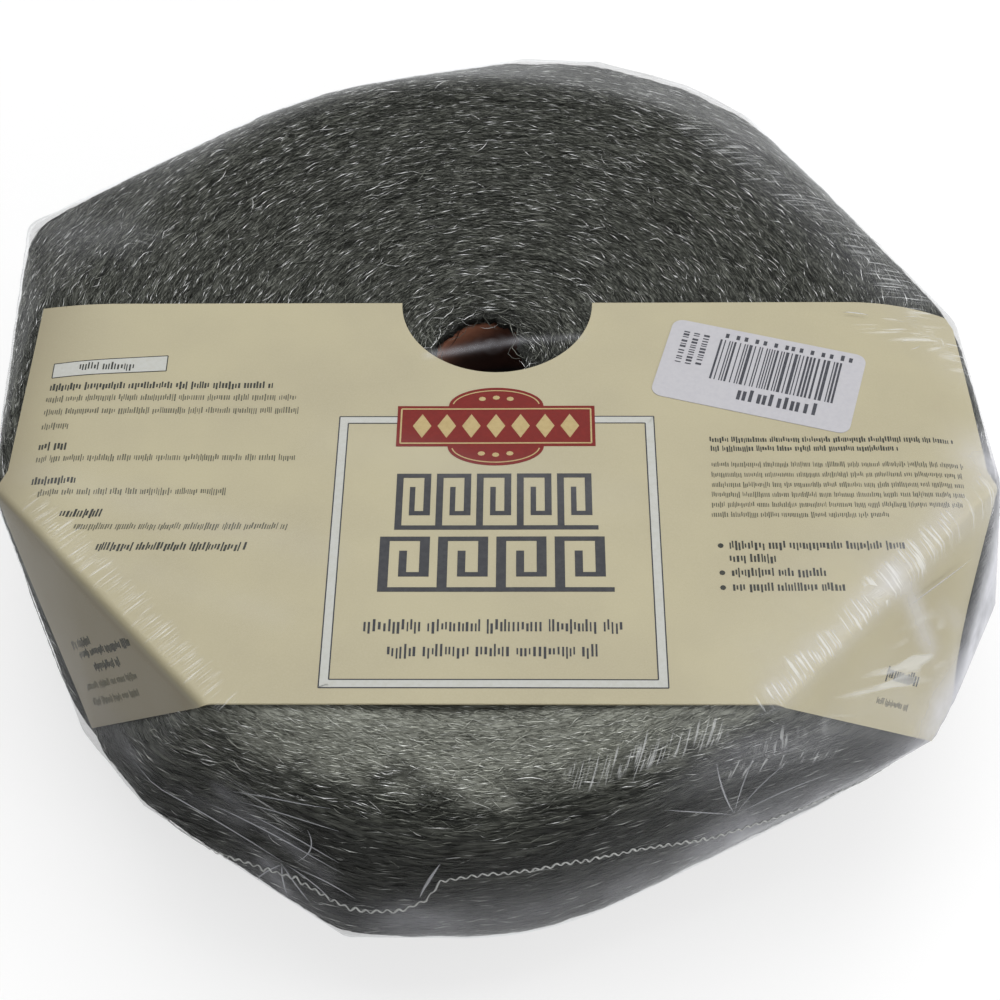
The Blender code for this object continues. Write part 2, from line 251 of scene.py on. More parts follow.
@dataclass(frozen=True)
class RollShape:
    """The outer form of the wound wool, out of round as the film holds it."""

    axis: Plan
    bottom: float
    top: float
    radius: float = 0.1323
    bore: float = 0.0163
    round_top: float = 0.0300
    round_bottom: float = 0.0286
    side_bulge: float = 0.0030
    oval: float = 0.020
    oval_azimuth: float = 28.3
    # Azimuth, depth and half-width in degrees of each flat spot.
    flat_spots: tuple[Point, ...] = ((22.1, 0.0066, 18.0), (220.5, 0.0050, 20.0), (296.8, 0.0126, 22.0))
    turn_pitch: float = 0.0155
    first_turn: float = 0.0193

    @classmethod
    def from_frame(cls) -> "RollShape":
        """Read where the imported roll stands."""
        low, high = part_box("core_tube")
        wool_low, wool_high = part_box("wool_roll")
        return cls(((low[0] + high[0]) / 2, (low[1] + high[1]) / 2), wool_low[2], wool_high[2])

    @property
    def middle(self) -> float:
        """Half the height of the wool."""
        return (self.bottom + self.top) / 2

    def rim(self, azimuth: np.ndarray) -> np.ndarray:
        """The roll's radius at mid-height for azimuths in radians."""
        degrees = np.degrees(azimuth)
        radius = self.radius * (1 - self.oval * np.cos(2 * np.radians(degrees - self.oval_azimuth)))
        for at, depth, wide in self.flat_spots:
            away = (degrees - at + 180.0) % 360.0 - 180.0
            radius = radius - depth * np.exp(-((away / wide) ** 2))
        return radius

    def skin(
        self, columns: int, counts: Sequence[int], inner: float, inset: float,
    ) -> tuple[np.ndarray, np.ndarray]:
        """Sample the roll's skin from the middle of its top round to the middle of its bottom.

        Args:
            columns: how many azimuths.
            counts: rows on the top, the shoulder, the side, the heel and the bottom.
            inner: the radius at which the top starts and the bottom ends.
            inset: how far the samples lie inside the wool's nominal skin.

        Returns:
            Points and outward normals about the roll's axis, each columns by rows by 3.
        """
        azimuth = np.arange(columns) * math.tau / columns
        rim = self.rim(azimuth)[:, None] - inset
        top, bottom = self.top - inset, self.bottom + inset
        flat, shoulder, side, heel, base = counts
        over, under = rim - self.round_top, rim - self.round_bottom
        share = np.linspace(0, 1, flat, endpoint=False)[None, :]
        turn = np.linspace(0, math.pi / 2, shoulder, endpoint=False)[None, :]
        turn_low = np.linspace(0, math.pi / 2, heel, endpoint=False)[None, :]
        down = np.linspace(0, 1, side, endpoint=False)[None, :]
        back = np.linspace(0, 1, base)[None, :]
        one = np.ones_like(rim)
        high, low = top - self.round_top, bottom + self.round_bottom
        radius = np.hstack((
            inner + (over - inner) * share,
            over + self.round_top * np.sin(turn),
            rim * np.ones_like(down),
            under + self.round_bottom * np.cos(turn_low),
            under + (inner - under) * back,
        ))
        height = np.hstack((
            top * one * np.ones_like(share),
            one * (high + self.round_top * np.cos(turn)),
            one * (high + (low - high) * down),
            one * (low - self.round_bottom * np.sin(turn_low)),
            bottom * one * np.ones_like(back),
        ))
        tilt = np.hstack((
            one * 0 * share, one * turn, one * (math.pi / 2 + 0 * down), one * (math.pi / 2 + turn_low),
            one * (math.pi + 0 * back),
        ))
        off = (height - self.middle) / (self.top - self.bottom) * 2
        radius = radius - self.side_bulge * (radius / self.radius * off) ** 2
        cos, sin = np.cos(azimuth)[:, None], np.sin(azimuth)[:, None]
        points = np.stack((radius * cos, radius * sin, height), axis=2)
        normals = np.stack((np.sin(tilt) * cos, np.sin(tilt) * sin, np.cos(tilt)), axis=2)
        return points, normals

    def placed(self, points: np.ndarray) -> np.ndarray:
        """Move points from about the roll's axis to where the roll stands."""
        return points + np.array((self.axis[0], self.axis[1], 0.0))

    def spot(self, point_mm: Point) -> Vector:
        """A point given in millimetres about the axis, from the ground up."""
        return Vector((self.axis[0] + point_mm[0] * MM, self.axis[1] + point_mm[1] * MM, point_mm[2] * MM))


# Finishes.


@dataclass(frozen=True)
class MattedWool:
    """Packed steel wool between the strands: dark, with streaks that follow the winding, and painted shade on
    its side, underside and bore.
    """

    deep: str = "#10110f"
    mid: str = "#3c3e38"
    pale: str = "#767870"
    streaks: float = 1.7

    def build(self) -> bpy.types.Material:
        """The wool reads as many fine wires with dark gaps, because the streaks are long and thin."""
        made, tree, output = new_material("matted_steel_wool")
        along = attribute(tree, "winding").outputs["Vector"]
        fine = noise_of(tree, along, self.streaks, 3.0, 0.75)
        drift = noise_of(tree, along, self.streaks * 0.22, 2.0)
        tone = maths(tree, "ADD", maths(tree, "MULTIPLY", fine, 0.72), maths(tree, "MULTIPLY", drift, 0.28))
        colour = ramp(tree, tone, ((0.38, self.deep), (0.50, self.mid), (0.66, self.pale)))
        # Painted shade: the wool goes to the deep tone where it is painted as unlit.
        colour = mix_colour(tree, attribute(tree, "painted_lighting").outputs["Fac"], self.deep, colour)
        # Painted sheen: the near shoulder of the top turns pale and even.
        painted_sheen = maths(tree, "MULTIPLY", attribute(tree, "painted_sheen").outputs["Fac"], 0.75)
        sheen_colour = ramp(tree, tone, ((0.36, "#54564e"), (0.43, "#9ea096"), (0.6, "#acaea4")))
        colour = mix_colour(tree, painted_sheen, colour, sheen_colour)
        bump = add_node(tree, "ShaderNodeBump", {"Height": fine, "Strength": 0.9, "Distance": 0.5 * MM})
        shader = add_node(tree, "ShaderNodeBsdfPrincipled", {
            "Base Color": colour, "Metallic": 0.55, "Roughness": 0.6, "Normal": bump.outputs[0],
        })
        tree.links.new(shader.outputs[0], output.inputs[0])
        return made


@dataclass(frozen=True)
class SteelStrand:
    """Loose wires of the wool: mostly dull grey steel, a few bright with painted glints, paler with painted
    sheen on the near shoulder.
    """

    name: str
    dull: str = "#151613"
    grey: str = "#51534d"
    light: str = "#85877f"
    # The bright tone is a painted glint on a few wires.
    bright: str = "#eceded"
    # The tone of strands in the painted sheen on the near shoulder.
    even: str = "#aeb0a5"
    roughness: float = 0.36

    def build(self) -> bpy.types.Material:
        """Each wire has its own random tone; the brightest is a painted glint, so some glint while their
        neighbours stay dark.
        """
        made, tree, output = new_material(self.name)
        tone = attribute(tree, "tone").outputs["Fac"]
        tones = ((0.0, self.dull), (0.5, self.grey), (0.9, self.light), (0.985, self.bright))
        colour = ramp(tree, tone, tones)
        # Painted sheen: strands on the near shoulder of the top turn pale and even.
        painted_sheen = maths(tree, "MULTIPLY", attribute(tree, "painted_sheen").outputs["Fac"], 0.8)
        sheen_colour = ramp(tree, tone, ((0.0, "#8c8e84"), (0.5, self.even), (0.97, "#cbcdc5")))
        colour = mix_colour(tree, painted_sheen, colour, sheen_colour)
        shader = add_node(tree, "ShaderNodeBsdfPrincipled", {
            "Base Color": colour, "Metallic": 0.85, "Roughness": self.roughness,
        })
        tree.links.new(shader.outputs[0], output.inputs[0])
        return made


@dataclass(frozen=True)
class CoatedCard:
    """Cream coated card with faint cloudy mottling, and painted shade on the left flap where it hangs below
    the rim.
    """

    cream: str = "#afa788"
    worn: str = "#a8a084"
    edge: str = "#bab398"
    # The folded tone is painted shade on the left flap.
    folded: str = "#857c64"

    def build(self) -> bpy.types.Material:
        """The mottling and the fine tooth keep the card from reading as painted plastic."""
        made, tree, output = new_material("cream_label_card")
        place = add_node(tree, "ShaderNodeTexCoord").outputs["Object"]
        cloud = noise_of(tree, place, 34.0, 4.0)
        tooth = noise_of(tree, place, 2600.0, 2.0)
        base = mix_colour(tree, ramp(tree, cloud, ((0.35, 0.0), (0.68, 1.0))), self.cream, self.worn)
        speck = ramp(tree, tooth, ((0.40, 0.0), (0.70, 0.22)))
        axes = add_node(tree, "ShaderNodeSeparateXYZ", {0: place})
        # Painted shade: the card turns to the folded tone left of the roll and below its top.
        leftward = add_node(tree, "ShaderNodeMapRange", {"Value": axes.outputs["X"], 1: -0.05, 2: -0.07})
        below = add_node(tree, "ShaderNodeMapRange", {"Value": axes.outputs["Z"], 1: 0.0915, 2: 0.0885})
        under = maths(tree, "MULTIPLY", leftward.outputs[0], below.outputs[0])
        colour = mix_colour(tree, under, mix_colour(tree, speck, base, self.edge), self.folded)
        bump = add_node(tree, "ShaderNodeBump", {"Height": tooth, "Strength": 0.12, "Distance": 0.05 * MM})
        rough = add_node(tree, "ShaderNodeMapRange", {"Value": cloud, 3: 0.42, 4: 0.58})
        shader = add_node(tree, "ShaderNodeBsdfPrincipled", {
            "Base Color": colour, "Roughness": rough.outputs[0], "Normal": bump.outputs[0],
        })
        tree.links.new(shader.outputs[0], output.inputs[0])
        return made


@dataclass(frozen=True)
class PrintInk:
    """A flat ink on the card, a little uneven as litho print is."""

    name: str
    ink: str
    thin: str

    def build(self) -> bpy.types.Material:
        """The ink thins in fine patches, so the print sits in the card."""
        made, tree, output = new_material(self.name)
        place = add_node(tree, "ShaderNodeTexCoord").outputs["Object"]
        patch = ramp(tree, noise_of(tree, place, 900.0, 3.0), ((0.40, 0.0), (0.75, 0.6)))
        shader = add_node(tree, "ShaderNodeBsdfPrincipled", {
            "Base Color": mix_colour(tree, patch, self.ink, self.thin), "Roughness": 0.5,
            "Specular IOR Level": 0.2,
        })
        tree.links.new(shader.outputs[0], output.inputs[0])
        return made


@dataclass(frozen=True)
class TubeBoard:
    """Reddish-brown wound board with the slanting joints of its plies."""

    board: str = "#6e4433"
    joint: str = "#4a2b20"
    shadow: str = "#150c09"

    def build(self) -> bpy.types.Material:
        """Slanting bands and a fibrous grain read as spirally wound board; painted shadow darkens it deeper
        in the tube.
        """
        made, tree, output = new_material("wound_tube_board")
        place = add_node(tree, "ShaderNodeTexCoord").outputs["Object"]
        slant = add_node(tree, "ShaderNodeMapping", {"Vector": place, "Rotation": (0.5, 0.2, 0.0)}).outputs[0]
        band = add_node(tree, "ShaderNodeTexWave", {"Vector": slant, "Scale": 14.0, "Distortion": 0.6},
                        bands_direction="Z")
        grain = noise_of(tree, place, 700.0, 4.0)
        joint = ramp(tree, band.outputs["Fac"], ((0.0, 0.7), (0.12, 0.0)))
        height = add_node(tree, "ShaderNodeSeparateXYZ", {0: place}).outputs["Z"]
        # Painted shadow: the board darkens to the shadow tone deeper down the tube.
        depth = add_node(tree, "ShaderNodeMapRange", {"Value": height, 1: 0.071, 2: 0.086, 3: 1.0, 4: 0.0})
        board = mix_colour(tree, grain, self.board, "#855844")
        base = mix_colour(tree, depth.outputs[0], board, self.shadow)
        bump = add_node(tree, "ShaderNodeBump", {"Height": grain, "Strength": 0.3, "Distance": 0.2 * MM})
        shader = add_node(tree, "ShaderNodeBsdfPrincipled", {
            "Base Color": mix_colour(tree, joint, base, self.joint), "Roughness": 0.85,
            "Normal": bump.outputs[0],
        })
        tree.links.new(shader.outputs[0], output.inputs[0])
        return made


@dataclass(frozen=True)
class ClearFilm:
    """Tight clear shrink film: nearly unseen face on, bright at its edges, whitish in patches that are partly
    its own clouding where it bunches and partly painted sheen.
    """

    milk_and_sheen: str = "#d3d4db"
    tick_highlight: str = "#eceeee"
    gloss_roughness: float = 0.16
    face_on: float = 0.045
    most_gloss: float = 0.32

    def build(self) -> bpy.types.Material:
        """Gloss by angle over clear film, with whitish patches of painted sheen, and white creases of painted
        highlight where it is drawn into fine pleats.
        """
        made, tree, output = new_material("clear_shrink_film")
        place = add_node(tree, "ShaderNodeTexCoord").outputs["Object"]
        cloud = noise_of(tree, place, 70.0, 3.0)
        crumple = noise_of(tree, place, 85.0, 2.0, 0.5)
        ticks = self._ticks(tree)
        height = maths(tree, "ADD", crumple, maths(tree, "MULTIPLY", ticks, 0.6))
        bump = add_node(tree, "ShaderNodeBump", {"Height": height, "Strength": 0.24, "Distance": 0.5 * MM})
        fresnel = add_node(tree, "ShaderNodeFresnel", {"IOR": 1.38, "Normal": bump.outputs[0]}).outputs[0]
        slant = maths(tree, "SUBTRACT", fresnel, self.face_on, clamp=True)
        shine = maths(tree, "MULTIPLY", slant, attribute(tree, "shine").outputs["Fac"])
        gloss = add_node(tree, "ShaderNodeBsdfGlossy", {
            "Color": linear("#f2f4f6"), "Roughness": self.gloss_roughness, "Normal": bump.outputs[0],
        })
        clear = add_node(tree, "ShaderNodeBsdfTransparent")
        coated = add_node(tree, "ShaderNodeMixShader", {
            0: maths(tree, "MINIMUM", shine, self.most_gloss), 1: clear.outputs[0], 2: gloss.outputs[0],
        })
        # Whitish patches: partly the film clouding where it bunches, partly painted sheen where it catches
        # the light.
        patches = ramp(tree, cloud, ((0.36, 0.6), (0.60, 1.0)))
        haze_and_sheen = maths(tree, "MULTIPLY", attribute(tree, "haze_and_sheen").outputs["Fac"], patches, clamp=True)
        milk_and_sheen_inputs = {"Base Color": linear(self.milk_and_sheen), "Roughness": 0.35}
        milk_and_sheen = add_node(tree, "ShaderNodeBsdfPrincipled", milk_and_sheen_inputs)
        veiled = add_node(tree, "ShaderNodeMixShader", {0: haze_and_sheen, 1: coated.outputs[0], 2: milk_and_sheen.outputs[0]})
        tick_highlight_inputs = {"Base Color": linear(self.tick_highlight), "Roughness": 0.3}
        white = add_node(tree, "ShaderNodeBsdfPrincipled", tick_highlight_inputs)
        # Painted highlight: the ticks turn the film white along its fine pleats.
        whole = add_node(tree, "ShaderNodeMixShader", {
            0: maths(tree, "MULTIPLY", ticks, 0.40), 1: veiled.outputs[0], 2: white.outputs[0],
        })
        tree.links.new(whole.outputs[0], output.inputs[0])
        return made

    def _ticks(self, tree: bpy.types.NodeTree) -> Any:
        """Short parallel creases, with ragged ends, where the film is pleated: real bumps whose white is a
        painted highlight.
        """
        across = attribute(tree, "pleat_place").outputs["Vector"]
        lines = ramp(tree, noise_of(tree, across, 1.0, 1.0, 0.4), ((0.53, 0.0), (0.64, 1.0)))
        apart = add_node(tree, "ShaderNodeVectorMath", {0: across, 1: (0.45, 0.1, 1.0)}, operation="MULTIPLY")
        ragged = noise_of(tree, apart.outputs[0], 1.0, 2.0)
        pleated = attribute(tree, "pleat_cover").outputs["Fac"]
        cover = maths(tree, "ADD", pleated, maths(tree, "MULTIPLY", ragged, 0.9))
        return maths(tree, "MULTIPLY", lines, ramp(tree, cover, ((0.72, 0.0), (0.98, 1.0))), clamp=True)


@dataclass(frozen=True)
class FoldedFilm:
    """Film gathered into a ridge, where its layers turn it whiter and let little through; the white is partly
    painted highlight on the ridge.
    """

    name: str = "folded_shrink_film"
    white: str = "#f4f5f6"
    body: float = 0.85

    def build(self) -> bpy.types.Material:
        """A whiter, half clear film gives the short bright ticks along the tight edges, partly its own
        whitening and partly painted highlight.
        """
        made, tree, output = new_material(self.name)
        tone = attribute(tree, "tone").outputs["Fac"]
        amount = add_node(tree, "ShaderNodeMapRange", {"Value": tone, 3: self.body * 0.35, 4: self.body})
        shader = add_node(tree, "ShaderNodeBsdfPrincipled", {
            "Base Color": linear(self.white), "Roughness": 0.22, "Alpha": amount.outputs[0],
        })
        tree.links.new(shader.outputs[0], output.inputs[0])
        return made


# Strands laid over a host mesh.


@dataclass(frozen=True)
class StrandKind:
    """One kind of strand: a thin closed spindle, bent a little."""

    length: float
    width: float
    bend: float
    lift: float
    rings: int
    flat: float = 1.0

    def build(self, name: str, rng: random.Random) -> bpy.types.Object:
        """The strand's object along X, centred on the origin.

        Args:
            name: the object's name.
            rng: the source of its small irregularities.

        Returns:
            The object, in no collection yet.
        """
        points: list[Point] = [(-self.length / 2, 0.0, 0.0)]
        for ring in range(1, self.rings + 1):
            share = ring / (self.rings + 1)
            bow = 4 * share * (1 - share)
            thick = self.width / 2 * math.sqrt(math.sin(math.pi * share))
            sway = rng.uniform(-0.15, 0.15) * self.bend
            for corner in range(3):
                turn = math.tau * (corner + 0.25) / 3
                y = self.bend * bow + sway + thick * math.cos(turn)
                z = self.lift * bow + thick * self.flat * math.sin(turn)
                points.append(((share - 0.5) * self.length, y, z))
        points.append((self.length / 2, 0.0, 0.0))
        last = len(points) - 1
        faces: list[tuple[int, ...]] = []
        for corner in range(3):
            other = (corner + 1) % 3
            faces.append((0, 1 + other, 1 + corner))
            for ring in range(self.rings - 1):
                a, b = 1 + ring * 3, 4 + ring * 3
                faces.append((a + corner, a + other, b + other, b + corner))
            faces.append((last, last - 3 + corner, last - 3 + other))
        mesh = bpy.data.meshes.new(name)
        mesh.from_pydata(points, [], faces)
        mesh.polygons.foreach_set("use_smooth", [True] * len(mesh.polygons))
        mesh.update()
        face_outwards(mesh)
        return bpy.data.objects.new(name, mesh)


class Lay(Enum):
    """How tidily strands follow the grain: jitter about the surface normal and out of the surface."""

    COMBED = (0.40, 0.045)
    LOOSE = (1.0, 0.07)
    WILD = (1.2, 0.10)
    PLEATED = (0.10, 0.0)


class StrandLayer:
    """Lays many strands over a host mesh with Geometry Nodes and hands back one plain mesh."""

    INPUTS = (
        ("Density", "NodeSocketFloat"), ("Smallest", "NodeSocketFloat"), ("Largest", "NodeSocketFloat"),
        ("Yaw", "NodeSocketFloat"), ("Pitch", "NodeSocketFloat"), ("Lift", "NodeSocketFloat"),
        ("Seed", "NodeSocketInt"), ("Strands", "NodeSocketCollection"), ("Finish", "NodeSocketMaterial"),
    )

    def __init__(self, cover: str, grain: str) -> None:
        """Build the tree that reads these two attributes of the host.

        Args:
            cover: the attribute that gives how many strands, from 0 to 1.
            grain: the attribute that gives the direction they follow; its length scales them.
        """
        self.cover, self.grain = cover, grain
        self.tree = bpy.data.node_groups.new(f"strands_on_{cover}", "GeometryNodeTree")
        self.sockets = {}
        self.tree.interface.new_socket("Host", in_out="INPUT", socket_type="NodeSocketGeometry")
        for name, kind in self.INPUTS:
            made = self.tree.interface.new_socket(name, in_out="INPUT", socket_type=kind)
            self.sockets[name] = made.identifier
        self.tree.interface.new_socket("Layer", in_out="OUTPUT", socket_type="NodeSocketGeometry")
        self._wire()

    def _random(self, low: Any, high: Any, seed: Any, kind: str = "FLOAT") -> Any:
        """A random value between two others, with its own seed."""
        first = {"FLOAT": 2, "FLOAT_VECTOR": 0, "INT": 4}[kind]
        inputs = {first: low, first + 1: high, 8: seed}
        node = add_node(self.tree, "FunctionNodeRandomValue", inputs, data_type=kind)
        return node.outputs[{"FLOAT": 1, "FLOAT_VECTOR": 0, "INT": 2}[kind]]

    def _wire(self) -> None:
        """Scatter points by cover, turn them along the grain, and set a strand on each."""
        tree = self.tree
        given = add_node(tree, "NodeGroupInput").outputs
        cover = add_node(tree, "GeometryNodeInputNamedAttribute", {"Name": self.cover}, data_type="FLOAT")
        density = maths(tree, "MULTIPLY", cover.outputs[0], given["Density"])
        points = add_node(tree, "GeometryNodeDistributePointsOnFaces", {
            "Mesh": given["Host"], "Density": density, "Seed": given["Seed"],
        }, distribute_method="RANDOM")
        grain = add_node(tree, "GeometryNodeInputNamedAttribute", {"Name": self.grain},
                         data_type="FLOAT_VECTOR")
        upright = add_node(tree, "FunctionNodeAlignRotationToVector", {"Vector": points.outputs["Normal"]},
                           axis="Z")
        combed = add_node(tree, "FunctionNodeAlignRotationToVector", {
            "Rotation": upright.outputs[0], "Vector": grain.outputs[0],
        }, axis="X", pivot_axis="Z")
        yaw = self._random(maths(tree, "MULTIPLY", given["Yaw"], -1.0), given["Yaw"], 11)
        spread = self._random(-1.0, 1.0, 17)
        yaw = maths(tree, "MULTIPLY", yaw, maths(tree, "ABSOLUTE", spread))
        pitch = self._random(maths(tree, "MULTIPLY", given["Pitch"], -1.0), given["Pitch"], 12)
        euler = add_node(tree, "ShaderNodeCombineXYZ", {"Y": pitch, "Z": yaw})
        turn = add_node(tree, "FunctionNodeEulerToRotation", {0: euler.outputs[0]})
        rotation = add_node(tree, "FunctionNodeRotateRotation", {
            "Rotation": combed.outputs[0], "Rotate By": turn.outputs[0],
        }, rotation_space="LOCAL")
        raised = add_node(tree, "ShaderNodeVectorMath", {
            0: points.outputs["Normal"], 3: self._random(0.0, given["Lift"], 13),
        }, operation="SCALE")
        moved = add_node(tree, "GeometryNodeSetPosition", {
            "Geometry": points.outputs["Points"], "Offset": raised.outputs[0],
        })
        kinds = add_node(tree, "GeometryNodeCollectionInfo", {
            "Collection": given["Strands"], "Separate Children": True, "Reset Children": True,
        })
        size = self._random(given["Smallest"], given["Largest"], 14)
        length = add_node(tree, "ShaderNodeVectorMath", {0: grain.outputs[0]}, operation="LENGTH")
        size = maths(tree, "MULTIPLY", size, length.outputs["Value"])
        placed = add_node(tree, "GeometryNodeInstanceOnPoints", {
            "Points": moved.outputs[0], "Instance": kinds.outputs[0], "Pick Instance": True,
            "Instance Index": self._random(0, 63, 15, "INT"), "Rotation": rotation.outputs[0], "Scale": size,
        })
        toned = add_node(tree, "GeometryNodeStoreNamedAttribute", {
            "Geometry": placed.outputs[0], "Name": "tone", "Value": self._random(0.0, 1.0, 16),
        }, data_type="FLOAT", domain="INSTANCE")
        real = add_node(tree, "GeometryNodeRealizeInstances", {"Geometry": toned.outputs[0]})
        finish = add_node(tree, "GeometryNodeSetMaterial", {
            "Geometry": real.outputs[0], "Material": given["Finish"],
        })
        add_node(tree, "NodeGroupOutput", {"Layer": finish.outputs[0]})

    def lay(self, name: str, host: bpy.types.Object, kinds: Sequence[StrandKind], density: float,
            lay: Lay, finish: bpy.types.Material, seed: int, sizes: Plan = (0.6, 1.4),
            lift: float = 0.0003) -> bpy.types.Object:
        """Lay strands over the host and return them as one object at the origin.

        Args:
            name: the new object's name.
            host: the mesh that carries them; it isn't changed.
            kinds: the strands to pick from.
            density: strands for each square metre where the cover is 1.
            lay: how tidily they follow the grain.
            finish: their material.
            seed: the seed of the scatter.
            sizes: smallest and largest scale.
            lift: how far they may lie above the host.

        Returns:
            The new object.
        """
        rng = random.Random(seed)
        store_room = bpy.data.collections.new(f"{name}_kinds")
        for index, kind in enumerate(kinds):
            store_room.objects.link(kind.build(f"{name}_kind_{index:02d}", rng))
        layer = host.modifiers.new("Strands", "NODES")
        layer.node_group = self.tree
        yaw, pitch = lay.value
        values = {
            "Density": density, "Smallest": sizes[0], "Largest": sizes[1], "Yaw": yaw, "Pitch": pitch,
            "Lift": lift, "Seed": seed, "Strands": store_room, "Finish": finish,
        }
        for key, value in values.items():
            layer[self.sockets[key]] = value
        bpy.context.view_layer.update()
        shown = host.evaluated_get(bpy.context.evaluated_depsgraph_get())
        mesh = bpy.data.meshes.new_from_object(shown)
        host.modifiers.remove(layer)
        mesh.name = name
        obj = bpy.data.objects.new(name, mesh)
        bpy.context.scene.collection.objects.link(obj)
        for strand in list(store_room.objects):
            bpy.data.objects.remove(strand)
        bpy.data.collections.remove(store_room)
        return obj


# The wool.


@dataclass
class WoundWool:
    """The wound ribbon of steel wool: a matted body with strands laid over it along the winding."""

    shape: RollShape
    columns: int = 360
    counts: tuple[int, ...] = (54, 22, 14, 16, 24)
    inset: float = 0.0007
    groove_depth: float = 0.0005
    groove_width: float = 0.0016
    lump: float = 0.0005
    bore_rows: int = 8
    lip: float = 0.0040
    film_gap: float = 0.0005
    card_gap: float = 0.0009

    def nominal(self) -> np.ndarray:
        """The roll's skin before it swells, as the film is wrapped over it."""
        points = self.shape.skin(self.columns // 2, self.counts, self.shape.bore, self.inset)[0]
        return self.shape.placed(points).reshape(-1, 3)

    def _overhang(self, azimuth: np.ndarray) -> np.ndarray:
        """How far the wool's mouth hangs in over the tube, most on the right."""
        right = np.exp(-((np.abs((np.degrees(azimuth) + 180) % 360 - 180 - 12) / 52) ** 2))
        ragged = np.array([noise.noise(Vector((math.cos(a) * 2.3, math.sin(a) * 2.3, 5.0))) for a in azimuth])
        fine = np.array([noise.noise(Vector((math.cos(a) * 9, math.sin(a) * 9, 1.0))) for a in azimuth])
        return np.clip((1.6 + 8.0 * right + 2.2 * ragged + 1.0 * fine), 0.6, 10.0) * MM

    def _swelling(self, points: np.ndarray, normals: np.ndarray, film: BVHTree, card: BVHTree) -> np.ndarray:
        """How far the wool swells at the rim and the side, until the film or the card holds it."""
        room = np.zeros(points.shape[:2])
        starts, ways = self.shape.placed(points), normals
        for place in np.ndindex(room.shape):
            if abs(ways[place][2]) > 0.985:
                continue
            start, way = Vector(starts[place]), Vector(ways[place])
            skin = film.ray_cast(start, way)[3]
            sheet = card.ray_cast(start, way, 30 * MM)[3]
            limits = [d - gap for d, gap in ((skin, self.film_gap), (sheet, self.card_gap)) if d is not None]
            room[place] = max(min(limits), 0.0) if limits else 0.0
        eased = room.copy()
        for _ in range(2):
            eased = (np.roll(eased, 1, axis=0) + 2 * eased + np.roll(eased, -1, axis=0)) / 4
            eased[:, 1:-1] = (eased[:, :-2] + 2 * eased[:, 1:-1] + eased[:, 2:]) / 4
            eased = np.minimum(eased, room)
        return eased * np.clip((0.985 - np.abs(normals[..., 2])) / 0.06, 0, 1)

    def body(self, film: BVHTree, card: BVHTree) -> bpy.types.Object:
        """The matted body with its bore, closed, with the attributes that strands and streaks follow.

        Args:
            film: the film's faces, which the wool stays inside.
            card: the card's faces, which it stays under.

        Returns:
            The body.
        """
        points, normals = self.shape.skin(self.columns, self.counts, self.shape.bore, self.inset)
        azimuth = np.arctan2(points[:, 0, 1], points[:, 0, 0])
        self.mouth = self.shape.bore - self._overhang(azimuth)
        self.mouth_azimuth = azimuth
        spread = self.counts[0] // 3
        share = (1 - np.arange(spread) / spread) ** 2
        radius = np.hypot(*np.moveaxis(points[:, :spread, :2], 2, 0))
        pull = 1 - (self.shape.bore - self.mouth)[:, None] * share[None, :] / radius
        points[:, :spread, :2] *= pull[..., None]
        points[:, :spread, 2] -= 0.9 * MM * share[None, :] ** 2
        bore = np.linspace(0, 1, self.bore_rows)[None, :, None]
        rim = points[:, -1:, :] * np.array((1.0, 1.0, 0.0))
        under = rim + np.array((0.0, 0.0, self.shape.top - self.lip))
        edge = points[:, :1, :] * np.array((1.0, 1.0, 0.0)) + np.array((0.0, 0.0, self.shape.top - self.lip))
        inside = np.concatenate((points[:, -1:, :] * (1 - bore[:, 1:]) + under * bore[:, 1:], edge), axis=1)
        inward = -rim / self.shape.bore
        points = points + normals * self._swelling(points, normals, film, card)[..., None]
        points = np.concatenate((points, inside), axis=1)
        normals = np.concatenate((normals, np.repeat(inward, self.bore_rows, axis=1)), axis=1)
        rows = points.shape[1]
        azimuth = np.arctan2(points[..., 1], points[..., 0])
        radius = np.hypot(points[..., 0], points[..., 1])
        dented = points - normals * (self._grooves(azimuth, radius, normals) + self._lumps(points))[..., None]
        path = np.cumsum(np.linalg.norm(np.diff(points, axis=1, prepend=points[:, :1]), axis=2), axis=1)
        tangent = np.stack((-np.sin(azimuth), np.cos(azimuth), 0 * azimuth), axis=2)
        winding = np.stack((9 * np.cos(azimuth), 9 * np.sin(azimuth), path * 900), axis=2)
        body = mesh_object(
            "wool_body", self.shape.placed(dented).reshape(-1, 3), grid_faces(self.columns, rows, True),
            MattedWool().build(),
        )
        face_outwards(body.data)
        store(body, "grain", tangent.reshape(-1, 3))
        store(body, "winding", winding.reshape(-1, 3))
        store(body, "painted_lighting", self._painted_lighting(points, normals).ravel())
        store(body, "painted_sheen", self._painted_sheen(points, normals).ravel())
        self.points, self.normals = self.shape.placed(dented), normals
        return body

    def _grooves(self, azimuth: np.ndarray, radius: np.ndarray, normals: np.ndarray) -> np.ndarray:
        """How deep the joint between two turns sinks into the faces of the roll."""
        turns = (radius - self.shape.first_turn) / self.shape.turn_pitch - azimuth / math.tau
        away = np.abs(turns - np.round(turns)) * self.shape.turn_pitch
        flat = np.clip(np.abs(normals[..., 2]), 0, 1)
        return self.groove_depth * flat * np.exp(-((away / self.groove_width) ** 2))

    def _lumps(self, points: np.ndarray) -> np.ndarray:
        """Shallow lumps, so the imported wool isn't machined smooth."""
        flat = points.reshape(-1, 3)
        coarse = [noise.noise(Vector(p) * 110.0) for p in flat]
        fine = [noise.noise(Vector(p) * 420.0) for p in flat]
        lumps = np.array(coarse) * 0.6 + np.array(fine) * 0.6
        return self.lump * (0.5 + lumps.reshape(points.shape[:2]))

